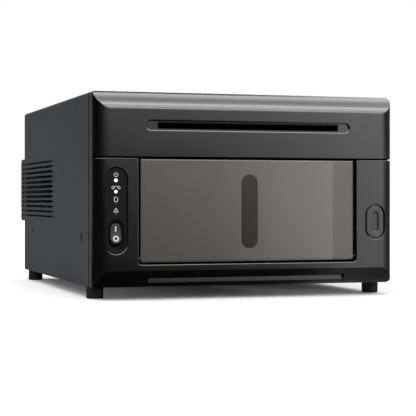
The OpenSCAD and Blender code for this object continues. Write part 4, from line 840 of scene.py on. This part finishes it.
def openingOutline(grow):
    f = front
    half, low, r = f["openHalf"] + grow, f["openLow"] - grow, f["openCorner"] + grow
    high = f["seamLow"] + past
    return (arc(half - r, low + r, r, -90, 0, 8) + [(half, high), (-half, high)]
            + arc(-half + r, low + r, r, 180, 270, 8))


def openingFlare(steps=5):
    # the rounded lip of the opening for the door, as flare makes it for a slot
    radius = front["openRim"]
    turns = [math.radians(90 * i / steps) for i in range(steps + 1)]
    rings = [(radius * (1 - math.cos(turn)), radius * (1 - math.sin(turn))) for turn in turns]
    return loft([[at(x, d, z) for x, z in openingOutline(grow)] for d, grow in [(-past, radius)] + rings])


def scoopCut():
    f = front
    deep, top, ease = f["scoopDepth"], f["scoopTop"], f["scoopEase"]
    outline = [(-past, 0), (-past, top), (deep - ease, top), (deep, top - ease), (deep - f["scoopDraft"], 0)]
    return drawX(outline, -f["scoopHalf"], f["scoopHalf"])


def lowerHollow():
    # what is empty behind the lower front, with solid walls left around every opening
    f = front
    half, low, seam, wall, depth = f["openHalf"], f["openLow"], f["seamLow"], f["wall"], f["depth"]
    x, z, _, h = f["panel"]
    padHalf, padPast = f["panelPad"]
    bx, bz, bw, bh = f["button"]
    _, guide, guideDepth = f["buttonGuide"]
    side, scoopHalf = casing["halfWidth"], f["scoopHalf"] + wall
    return carve(frontBlock(wall, depth + past),
                 box(half - past, half + wall, past, depth - 2, 0, seam),
                 box(-half - wall, past - half, past, depth - 2, 0, seam),
                 box(-half, half, past, depth, low - wall, low + past),
                 box(x - padHalf, x + padHalf, 0, f["panelBack"], z - h / 2 - padPast, z + h / 2 + padPast),
                 box(-scoopHalf, scoopHalf, past, f["scoopDepth"] + wall, 0, f["scoopTop"] + wall),
                 drawY(stadium(bx, bz, bw + guide, bh + guide), past, guideDepth),
                 box(half, side, past, depth, seam - wall, seam + past),
                 box(-side, -half, past, depth, seam - wall, seam + past))


def makeSeamLip():
    f = front
    inset, thick = f["lip"]
    lip = common(carve(frontBlock(inset, f["depth"]), frontBlock(inset + thick, f["depth"] + past)),
                 slab(f["seamLow"] - f["lipLap"], f["seamHigh"] - f["lipGap"]))
    lip = carve(lip, drawY(openingOutline(0), -past, f["depth"] + past))
    # its near-black matt finish is painted shade in the seam
    newPiece("seamLip", lip, "case", "paintedShadeBlack")


def makeLowerShell():
    f = front
    half, low, seam, wall, depth = f["openHalf"], f["openLow"], f["seamLow"], f["wall"], f["depth"]
    px, pz, pw, ph = f["panel"]
    bx, bz, bw, bh = f["button"]
    seat, flange, margin = f["panelSeat"], f["panelFlange"], f["rimMargin"]
    holeWidth, holeHeight = bw + 2 * f["buttonGap"], bh + 2 * f["buttonGap"]
    play, _, guideDepth = f["buttonGuide"]
    latchDepth, latchHalf = f["latchWindow"]
    shell = common(frontBlock(0, depth), slab(0, seam))
    shell = carve(shell, lowerHollow(), scoopCut(), drawY(openingOutline(0), -past, depth + past),
                  drawY(stadium(px, pz, pw, ph), -past, seat + past),
                  drawY(stadium(px, pz, pw + flange, ph + flange), seat, seat + 4 * past), openingFlare(),
                  flare(px, pz, pw, ph, f["panelRim"]), flare(bx, bz, holeWidth, holeHeight, f["buttonRim"]),
                  drawY(stadium(bx, bz, holeWidth, holeHeight), -past, wall),
                  drawY(stadium(bx, bz, bw + play, bh + play), -past, guideDepth + 2 * past),
                  box(half - past, half + wall + past, latchDepth, depth + past,
                      bz - latchHalf, bz + latchHalf))
    # the openings have their own rounded rims
    panelReach, buttonReach = ph / 2 + margin, bh / 2 + margin
    rims = [space(px - pw, px + pw / 2 + margin, pz - panelReach, pz + panelReach, 9),
            space(bx - bw / 2 - margin, bx + bw / 2 + margin, bz - buttonReach, bz + buttonReach, 14),
            space(-half - 2, half + 2, low - margin, seam + 2, 1.5)]
    shell = clean(join(shell, tongueRing(0, seam)))
    dressNode("lower_shell", finishEdges(shell, f["edge"], f["sharp"], leave=rims))


makeUpperShell()
makeSeamLip()
makeLowerShell()
print("front shells made")


cover = {
    "front": 16.3, "back": 344.0, "sheet": 1.2, "bend": 3.0, "edge": 0.3,
    "earBack": 366.0, "earLow": 62.8, "earHigh": 128.8, "earRadius": 5.0, "earRoot": 12.0,
    # the groove holds a near-black fill that paints the shade in it; the number after the groove is that
    # fill's thickness
    "groove": (23.7, 27.7, 0.95), "paintedShadeFill": 0.7,   # from and to behind the front, and how deep
    "louvres": 12, "louvrePitch": 4.92, "louvreMiddle": 95.8, "louvreFront": 183.0, "louvreBack": 357.5,
    "louvreLow": 1.6, "louvreSwell": 1.6, "louvreTip": 14.0,
    "screws": (55.5, 293.0), "screwHeight": 52.0, "screwHole": 1.8, "dishRadius": 4.65, "dishDepth": 2.4,
}


def coverArch(drop, bottom, steps=14):
    # up one side, over the top and down the other, drawn in by the drop
    half, high, bend = casing["halfWidth"], casing["top"] - cover["bend"], cover["bend"]
    return ([(half - drop, bottom)] + arc(half - bend, high, bend - drop, 0, 90, steps)
            + arc(bend - half, high, bend - drop, 90, 180, steps) + [(drop - half, bottom)])


def across(side, start, end):
    # from one distance to another, out from the middle to one side
    return sorted((side * start, side * end))


def louvreCuts(side):
    # one slot is 1 mm high, and the row makes each as high as its place asks
    c = cover
    start, end, tip = c["louvreFront"], c["louvreBack"], c["louvreTip"]
    through = across(side, casing["halfWidth"] - c["sheet"] - past, casing["halfWidth"] + past)
    slot = drawX([(start, 0), (start + tip, -0.5), (end, -0.5), (end, 0.5), (start + tip, 0.5)], *through)
    count, pitch = c["louvres"], c["louvrePitch"]
    slots = row(slot, "coverPaint", count, (0, 0, pitch), c["louvreLow"], c["louvreSwell"])
    return moved(slots, (0, 0, c["louvreMiddle"] - (count - 1) / 2 * pitch))


def makeCover():
    c = cover
    half, low, sheet = casing["halfWidth"], casing["floor"], c["sheet"]
    root, earTip, r = c["back"] - c["earRoot"], c["earBack"] - c["earRadius"], c["earRadius"]
    ear = ([(root, c["earLow"])] + arc(earTip, c["earLow"] + r, r, -90, 0, 10)
           + arc(earTip, c["earHigh"] - r, r, 0, 90, 10) + [(root, c["earHigh"])])
    body = drawY(coverArch(0, low) + coverArch(sheet, low)[::-1], c["front"], c["back"])
    bottom = half - c["dishDepth"]
    cuts = []
    for side in (-1, 1):
        body = join(body, drawX(ear, *across(side, half - sheet, half)))
        for depth in c["screws"]:
            place = (depth, c["screwHeight"])
            dish = tubeX(*across(side, bottom - sheet, half), *place, c["dishRadius"] + sheet, 40)
            body = join(body, dish)
            cuts.append(tubeX(*across(side, bottom, half + past), *place, c["dishRadius"], 40))
            hole = across(side, half - 3 * c["dishDepth"], half + 0.9 * past)
            body = carve(body, tubeX(*hole, *place, c["screwHole"], 20))
        cuts.append(louvreCuts(side))
    body = carve(body, gather(*cuts))
    start, end, deep = c["groove"]
    kept = drawY(coverArch(deep, low - 3), start - past, end + past)
    groove = carve(box(-half - 2, half + 2, start, end, low - 2, casing["top"] + 2), kept)
    dressNode("cover", finishEdges(clean(carve(body, groove)), c["edge"], 40))
    # painted shade: a near-black fill lies in the groove with a hair of room, to darken it
    paintedShadeFill = carve(drawY(coverArch(deep - c["paintedShadeFill"], low + 0.1), start + 0.02, end - 0.02), kept)
    newPiece("coverGroovePaintedShade", finishEdges(clean(paintedShadeFill), 0), bodyOfNode["cover"], "paintedShadeBlack")


makeCover()
print("cover made")


door = {
    "halfWidth": 97.8, "low": 32.1, "top": 119.9, "corner": 2.5, "face": (1.8, 4.2), "edge": 0.2,
    "slope": (1.1, 0.34),   # width and depth of the sloped rim
    "window": (0.0, 75.0, 14.5, 64.0), "windowGap": 0.1, "windowEdge": 0.15,
}


def makeDoor():
    d = door
    half, low, top, r = d["halfWidth"], d["low"], d["top"], d["corner"]
    x, z, w, h = d["window"]
    gap = 2 * d["windowGap"]
    near, far = d["face"]
    slopeWidth, slopeDepth = d["slope"]
    rings = []
    for depth, inset in ((near, slopeWidth), (near + slopeDepth, 0), (far, 0)):
        corner = r - inset
        outline = (arc(half - r, low + r, corner, -90, 0, 10)
                   + [(half - inset, top - inset), (inset - half, top - inset)]
                   + arc(r - half, low + r, corner, 180, 270, 10))
        rings.append([at(a, depth, b) for a, b in outline])
    face = carve(loft(rings), drawY(stadium(x, z, w + gap, h + gap), near - past, far + past))
    dressNode("door_face", finishEdges(clean(face), d["edge"], 40, crisp=8))
    dressNode("door_window", finishEdges(drawY(stadium(x, z, w, h), near, far), d["windowEdge"], 40))


makeDoor()
print("door made")


panel = {
    "gap": 0.1, "face": 1.3, "well": (55.3, 14.0, 26.3), "edge": 0.3,
    "lampHeights": (101.7, 92.17, 82.63, 73.1), "lampRadii": (1.5, 1.5, 0.675, 0.675), "lampFront": 1.5,
    "lampFinishes": ("lampGreen", "lampAmber", "lampOff", "lampOff"),
    "lampDome": 0.35, "lampRings": (0.12, 0.45, 0.75, 0.95, 1.0), "lampTail": 4.0,
}
rocker = {
    "z": 55.9, "depth": 8.2, "width": 9.3, "height": 17.5, "tilt": 8.0, "front": 5.8, "back": 4.0,
    "halfBlock": 6.0, "axle": (1.0, 7.0), "edge": 0.7,
    "endDrop": 0.14,   # how much further the two faces slope past the rocker's ends
    "markLift": 0.03, "markRoot": 0.1, "line": (0.0, 4.0, 1.1, 4.4), "ring": (0.0, -4.3, 2.5, 1.45),
}


def makePanel():
    p = panel
    x, z, w, h = front["panel"]
    seat, back, flange = front["panelSeat"], front["panelBack"], front["panelFlange"]
    w, h = w - 2 * p["gap"], h - 2 * p["gap"]
    plate = join(drawY(stadium(x, z, w, h), p["face"], seat),
                 drawY(stadium(x, z, w + flange, h + flange), seat, back))
    wellZ, wellWidth, wellHeight = p["well"]
    holes = [stadium(x, wellZ, wellWidth, wellHeight)]
    holes += [disc(x, lampZ, 2 * r) for lampZ, r in zip(p["lampHeights"], p["lampRadii"])]
    plate = carve(plate, *[drawY(hole, -past, back + past) for hole in holes])
    dressNode("control_panel", finishEdges(clean(plate), p["edge"], 40))


def makeLamps():
    p = panel
    x = front["panel"][0]
    for i, (z, r, finish) in enumerate(zip(p["lampHeights"], p["lampRadii"], p["lampFinishes"])):
        # a low dome in rings, and the stem behind it
        domed = [(share * r, p["lampFront"] + p["lampDome"] * (1 - math.sqrt(max(1 - share * share, 0))))
                 for share in p["lampRings"]]
        rings = domed + [(r, front["panelBack"] + p["lampTail"])]
        lens = loft([[at(a, depth, b) for a, b in roundOutline(x, z, radius, 16)]
                     for radius, depth in rings])
        standsFor = ("status_lamps",) if i == 0 else ()
        newPiece("lampLens%d" % (i + 1), finishEdges(lens, 0), "case", finish, standsFor)


def rockerPoint(x, y, z):
    # from the rocker's own frame, tipped about its pivot, to the shared frame
    r = rocker
    tilt = math.radians(-r["tilt"])
    return at(front["panel"][0] + x, r["depth"] + y * math.cos(tilt) - z * math.sin(tilt),
              r["z"] + y * math.sin(tilt) + z * math.cos(tilt))


def rockerFace(z):
    return -rocker["front"] - math.tan(math.radians(rocker["tilt"])) * abs(z)


def rockerMark(name, outline, hole=None):
    r = rocker
    mesh = loft([[rockerPoint(x, rockerFace(z) + offset, z) for x, z in outline]
                 for offset in (r["markRoot"], -r["markLift"])])
    if hole:
        mesh = carve(mesh, loft([[rockerPoint(x, rockerFace(z) + offset, z) for x, z in hole]
                                 for offset in (past, -past)]))
    newPiece(name, mesh, "rocker", "whiteInk")


def makeRocker():
    r = rocker
    end, block = r["height"] / 2 + past, r["halfBlock"]
    sloped = rockerFace(r["height"] / 2) - r["endDrop"]
    profile = [(r["back"], -end), (sloped, -end), (rockerFace(0), 0), (sloped, end), (r["back"], end)]
    body = common(loft([[rockerPoint(x, y, z) for y, z in profile] for x in (-block, block)]),
                  loft([[rockerPoint(x, y, z) for x, z in stadium(0, 0, r["width"], r["height"])]
                        for y in (-2 * block, r["back"])]))
    radius, reach = r["axle"]
    axle = loft([[rockerPoint(x, a, b) for a, b in roundOutline(0, 0, radius, 24)] for x in (-reach, reach)])
    dressNode("power_rocker", finishEdges(clean(join(body, axle)), r["edge"], 40, 3))
    x, z, w, h = r["line"]
    rockerMark("rockerLine", rect(x - w / 2, x + w / 2, z - h / 2, z + h / 2))
    x, z, outer, inner = r["ring"]
    rockerMark("rockerRing", roundOutline(x, z, outer, 36), roundOutline(x, z, inner, 36))


makePanel()
makeLamps()
makeRocker()
print("switch panel made")


# plain pictures printed on the switch panel beside the lamps
printed = {
    "lift": 0.025, "root": 0.15, "line": 0.42,
    "power": 106.4, "ribbon": 95.5, "paper": 83.9, "fault": 74.9,   # height of each
}


def printedMark(name, outlines):
    x = front["panel"][0]
    root, top = panel["face"] + printed["root"], panel["face"] - printed["lift"]
    mark = gather(*[drawY([(x + a, z) for a, z in outline], root, top) for outline in outlines])
    newPiece(name, mark, "case", "whiteInk")


def stroke(x0, z0, x1, z1):
    length = math.hypot(x1 - x0, z1 - z0)
    half = printed["line"] / 2
    nx, nz = -(z1 - z0) / length * half, (x1 - x0) / length * half
    return [(x0 + nx, z0 + nz), (x1 + nx, z1 + nz), (x1 - nx, z1 - nz), (x0 - nx, z0 - nz)]


def strokes(corners, z):
    return [stroke(x0, z + z0, x1, z + z1) for (x0, z0), (x1, z1) in zip(corners, corners[1:])]


def openRing(x, z, r, start, end, steps=24):
    half = printed["line"] / 2
    return arc(x, z, r + half, start, end, steps) + arc(x, z, r - half, end, start, steps)


def makePictures():
    # power: a broken ring with a bar
    z = printed["power"]
    printedMark("picturePower", [openRing(0, z, 1.7, 125, 415), stroke(0, z - 0.2, 0, z + 2.2)])
    # ribbon: two rolls with film between them
    z = printed["ribbon"]
    printedMark("pictureRibbon", [openRing(-2.6, z, 1.0, 0, 350), openRing(2.6, z, 1.0, 0, 350),
                                  stroke(-2.6, z + 1.1, 2.6, z + 1.1)])
    # paper: a sheet with a folded corner
    sheet = [(-1.5, 0), (1.5, 0), (1.5, 2.7), (0.6, 3.6), (-1.5, 3.6), (-1.5, 0)]
    printedMark("picturePaper", strokes(sheet, printed["paper"]))
    # fault: a triangle with a bar in it
    triangle, bar = [(-2.0, 0), (2.0, 0), (0, 3.4), (-2.0, 0)], [(0, 0.8), (0, 2.0)]
    printedMark("pictureFault", strokes(triangle, printed["fault"]) + strokes(bar, printed["fault"]))


makePictures()
print("pictures printed")


button = {
    "face": 0.6, "back": 12.0, "edge": 0.8, "thumb": (118.9, 6.1, 18.4, 2.4),
    "wall": 1.5, "hollow": 5.4,     # the hollow begins there
    "stem": (2.4, 11.5, 25.6),      # its size, and from where to where
}


def makeButton():
    b = button
    x, z, w, h = front["button"]
    thumbX, thumbWidth, thumbHeight, deep = b["thumb"]
    thick, start, end = b["stem"]
    room = carve(drawY(stadium(x, z, w - 2 * b["wall"], h - 2 * b["wall"]), b["hollow"], b["back"] + past),
                 drawY(disc(x, z, thick), 0, b["back"] + 2 * past))
    thumb = drawY(stadium(thumbX, z, thumbWidth, thumbHeight), b["face"] - past, b["face"] + deep)
    body = carve(drawY(stadium(x, z, w, h), b["face"], b["back"]), thumb, room)
    body = clean(join(body, drawY(disc(x, z, thick), start, end)))
    dressNode("door_button", finishEdges(body, b["edge"], 40, 3))


def makeButtonSpring():
    # the spring keeps its shape and gets a mesh of its own
    spring = dressNode("button_spring", finishEdges(clean(frame["nodes"]["button_spring"].data.copy()), 0))
    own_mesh(spring)


makeButton()
makeButtonSpring()
print("button and its spring made")


feet = {"first": (-129.5, -146.0), "apart": (259.0, 285.0), "height": 10.5, "radius": 7.4}
screws = {
    "shank": 1.4, "length": 5.4, "cross": (3.3, 0.75, 0.9), "edge": 0.06,
    "head": [(1, 0.4), (0.93, 0.68), (0.75, 0.88), (0.4, 1)],   # shares of the head's radius and height
    # place, head radius and height, turn about an axis, copies and the pitch between them
    "runs": [((135.1, -127.5, 52.0), (3.2, 1.6), (90, "Y"), 2, (0, 237.5, 0)),
             ((-135.1, -127.5, 52.0), (3.2, 1.6), (-90, "Y"), 2, (0, 237.5, 0)),
             ((-128.0, 161.0, 17.7), (3.0, 1.8), (-90, "X"), 2, (0, -146.3, 0)),
             ((128.0, 161.0, 17.7), (3.0, 1.8), (-90, "X"), 2, (0, -146.3, 0)),
             ((-108.0, 161.0, 36.5), (3.0, 1.8), (-90, "X"), 2, (40, 0, 0))],
}


def makeFeet():
    h, r = feet["height"], feet["radius"]
    foot = turnedSolid([(r - 1.6, 0.0), (r - 1.0, 0.0), (r - 0.45, 0.2), (r - 0.1, 0.7), (r - 0.02, 1.4),
                        (r, h - 0.6), (r - 0.3, h - 0.15), (r - 0.8, h)])
    apartX, apartY = feet["apart"]
    pair = row(foot, "footRubber", 2, (apartX, 0, 0))
    mesh = moved(row(pair, "footRubber", 2, (0, apartY, 0)), (*feet["first"], 0))
    dressNode("feet", finishEdges(mesh, 0))


def makeScrews():
    s = screws
    runs = []
    for i, (place, (radius, height), (turn, axis), count, pitch) in enumerate(s["runs"]):
        profile = [(s["shank"], -s["length"]), (s["shank"], 0), (radius, 0)]
        profile += [(out * radius, up * height) for out, up in s["head"]]
        screw = turnedSolid(profile, 32)
        arm, slit, deep = s["cross"]
        for a, b in ((arm, slit), (slit, arm)):
            screw = carve(screw, rise(rect(-a / 2, a / 2, -b / 2, b / 2), height - deep, height + past))
        screw = finishEdges(clean(screw), s["edge"], 40, clamp=True)
        screw = row(screw, "blackSteel", count, pitch, turn=math.pi, seed=7 + i)
        runs.append(moved(screw, place, turn, axis))
    dressNode("case_screws", gather(*runs))


makeScrews()
makeFeet()
print("feet and case screws made")


# wires from the mains inlet to the main board; the path's points and the ties are in the shared frame
loom = {
    "path": [(-111.3, 150.0, 48.4), (-111.3, 150.0, 100.0), (-111.3, 150.0, 158.0), (-109.0, 149.0, 165.5),
             (-101.0, 138.0, 166.5), (-94.0, 126.0, 164.6), (-92.0, 117.6, 164.4)],
    "wires": 6, "wire": 1.22, "circle": 2.45, "twist": 0.035, "step": 2.0,
    "tie": (3.9, 2.4), "ties": 4, "tiePitch": 27.0, "firstTie": 62.0,
}


def smoothPath(points, rounds=3):
    for _ in range(rounds):
        cut = [points[0]]
        for a, b in zip(points, points[1:]):
            cut += [a.lerp(b, 0.25), a.lerp(b, 0.75)]
        points = cut + [points[-1]]
    return points


def makeLoom():
    plan = loom
    path = smoothPath([Vector(p) for p in plan["path"]])
    verts, edges = [], []
    for wire in range(plan["wires"] + 1):
        run = 0.0
        for i, point in enumerate(path):
            ahead = path[min(i + 1, len(path) - 1)] - path[max(i - 1, 0)]
            ahead.normalize()
            run += (point - path[i - 1]).length if i else 0.0
            side = Vector((1, 0, 0)) - ahead * ahead.x
            side.normalize()
            turn = 2 * math.pi * wire / plan["wires"] + plan["twist"] * run
            reach = plan["circle"] if wire < plan["wires"] else 0.0
            verts.append((point + (side * math.cos(turn) + ahead.cross(side) * math.sin(turn)) * reach) * mm)
            if i:
                edges.append((len(verts) - 2, len(verts) - 1))
    lines = bpy.data.meshes.new("lines")
    lines.from_pydata(verts, edges, [])
    wires = grown(lines, tubeTree, "wireSleeve", Radius=plan["wire"] * mm, Sides=14)
    newPiece("wiringLoom", finishEdges(wires, 0), "case", "wireSleeve")
    radius, height = plan["tie"]
    tie = turnedSolid([(radius - 0.3, 0), (radius, 0.3), (radius, height - 0.3), (radius - 0.3, height)], 36)
    ties = row(tie, "whiteMoulding", plan["ties"], (0, 0, plan["tiePitch"]))
    x, y, _ = plan["path"][0]
    ties = moved(ties, (x, y, plan["firstTie"]))
    newPiece("loomTies", finishEdges(ties, 0), "case", "whiteMoulding")


filterMat = {"x": (-112.0, 18.0), "z": (67.5, 124.1), "depth": (344.05, 347.5), "corner": 3.0}


def makeFilterMat():
    # a dark open foam behind the rear panel's air opening, inside the cowl
    f = filterMat
    mat = drawY(roundRect(*f["x"], *f["z"], f["corner"]), *f["depth"])
    newPiece("filterMat", finishEdges(mat, 0.6, 40), "case", "filterFoam")


makeLoom()
makeFilterMat()
print("wiring and filter mat made")


# the other nodes keep their shape and get softer edges, by millimetres
softEdges = {
    "rear_panel": 0.25, "rear_cowl": 0.5, "power_inlet": 0.5, "data_socket": 0.25, "door_frame": 0.35,
    "switch_body": 0.3, "base_pan": 0.2, "left_frame": 0.2, "right_frame": 0.2, "exit_chute": 0.3,
    "ribbon_cassette": 0.4, "cutter_bed": 0.3, "cutter_carriage": 0.5, "fan_housing": 0.4, "top_shelf": 0.2,
    "roll_brackets": 0.2, "latch_bracket": 0.2, "latch_crank": 0.4, "power_supply": 0.3, "print_head": 0.3,
    "head_carrier": 0.3, "feed_motor": 0.6, "ribbon_motor": 0.5, "lift_motor": 0.5, "paper_roll": 0.2,
    "roll_spindle": 0.4, "main_board": 0.15, "lamp_board": 0.15, "door_striker": 0.15,
    "fan_rotor": 0.2, "platen_roller": 0.4, "grip_roller": 0.3, "pinch_roller": 0.3, "exit_roller": 0.4,
    "exit_idler": 0.3, "takeup_spool": 0.3, "supply_spool": 0.3, "cam_shaft": 0.2, "cutter_wheel": 0.1,
}


def soften(node, width):
    mesh = frame["nodes"][node].data.copy()
    return dressNode(node, finishEdges(clean(mesh, 0.4), width, 35, clamp=True))


for node, width in softEdges.items():
    soften(node, width)
print("edges softened on", len(softEdges), "nodes")
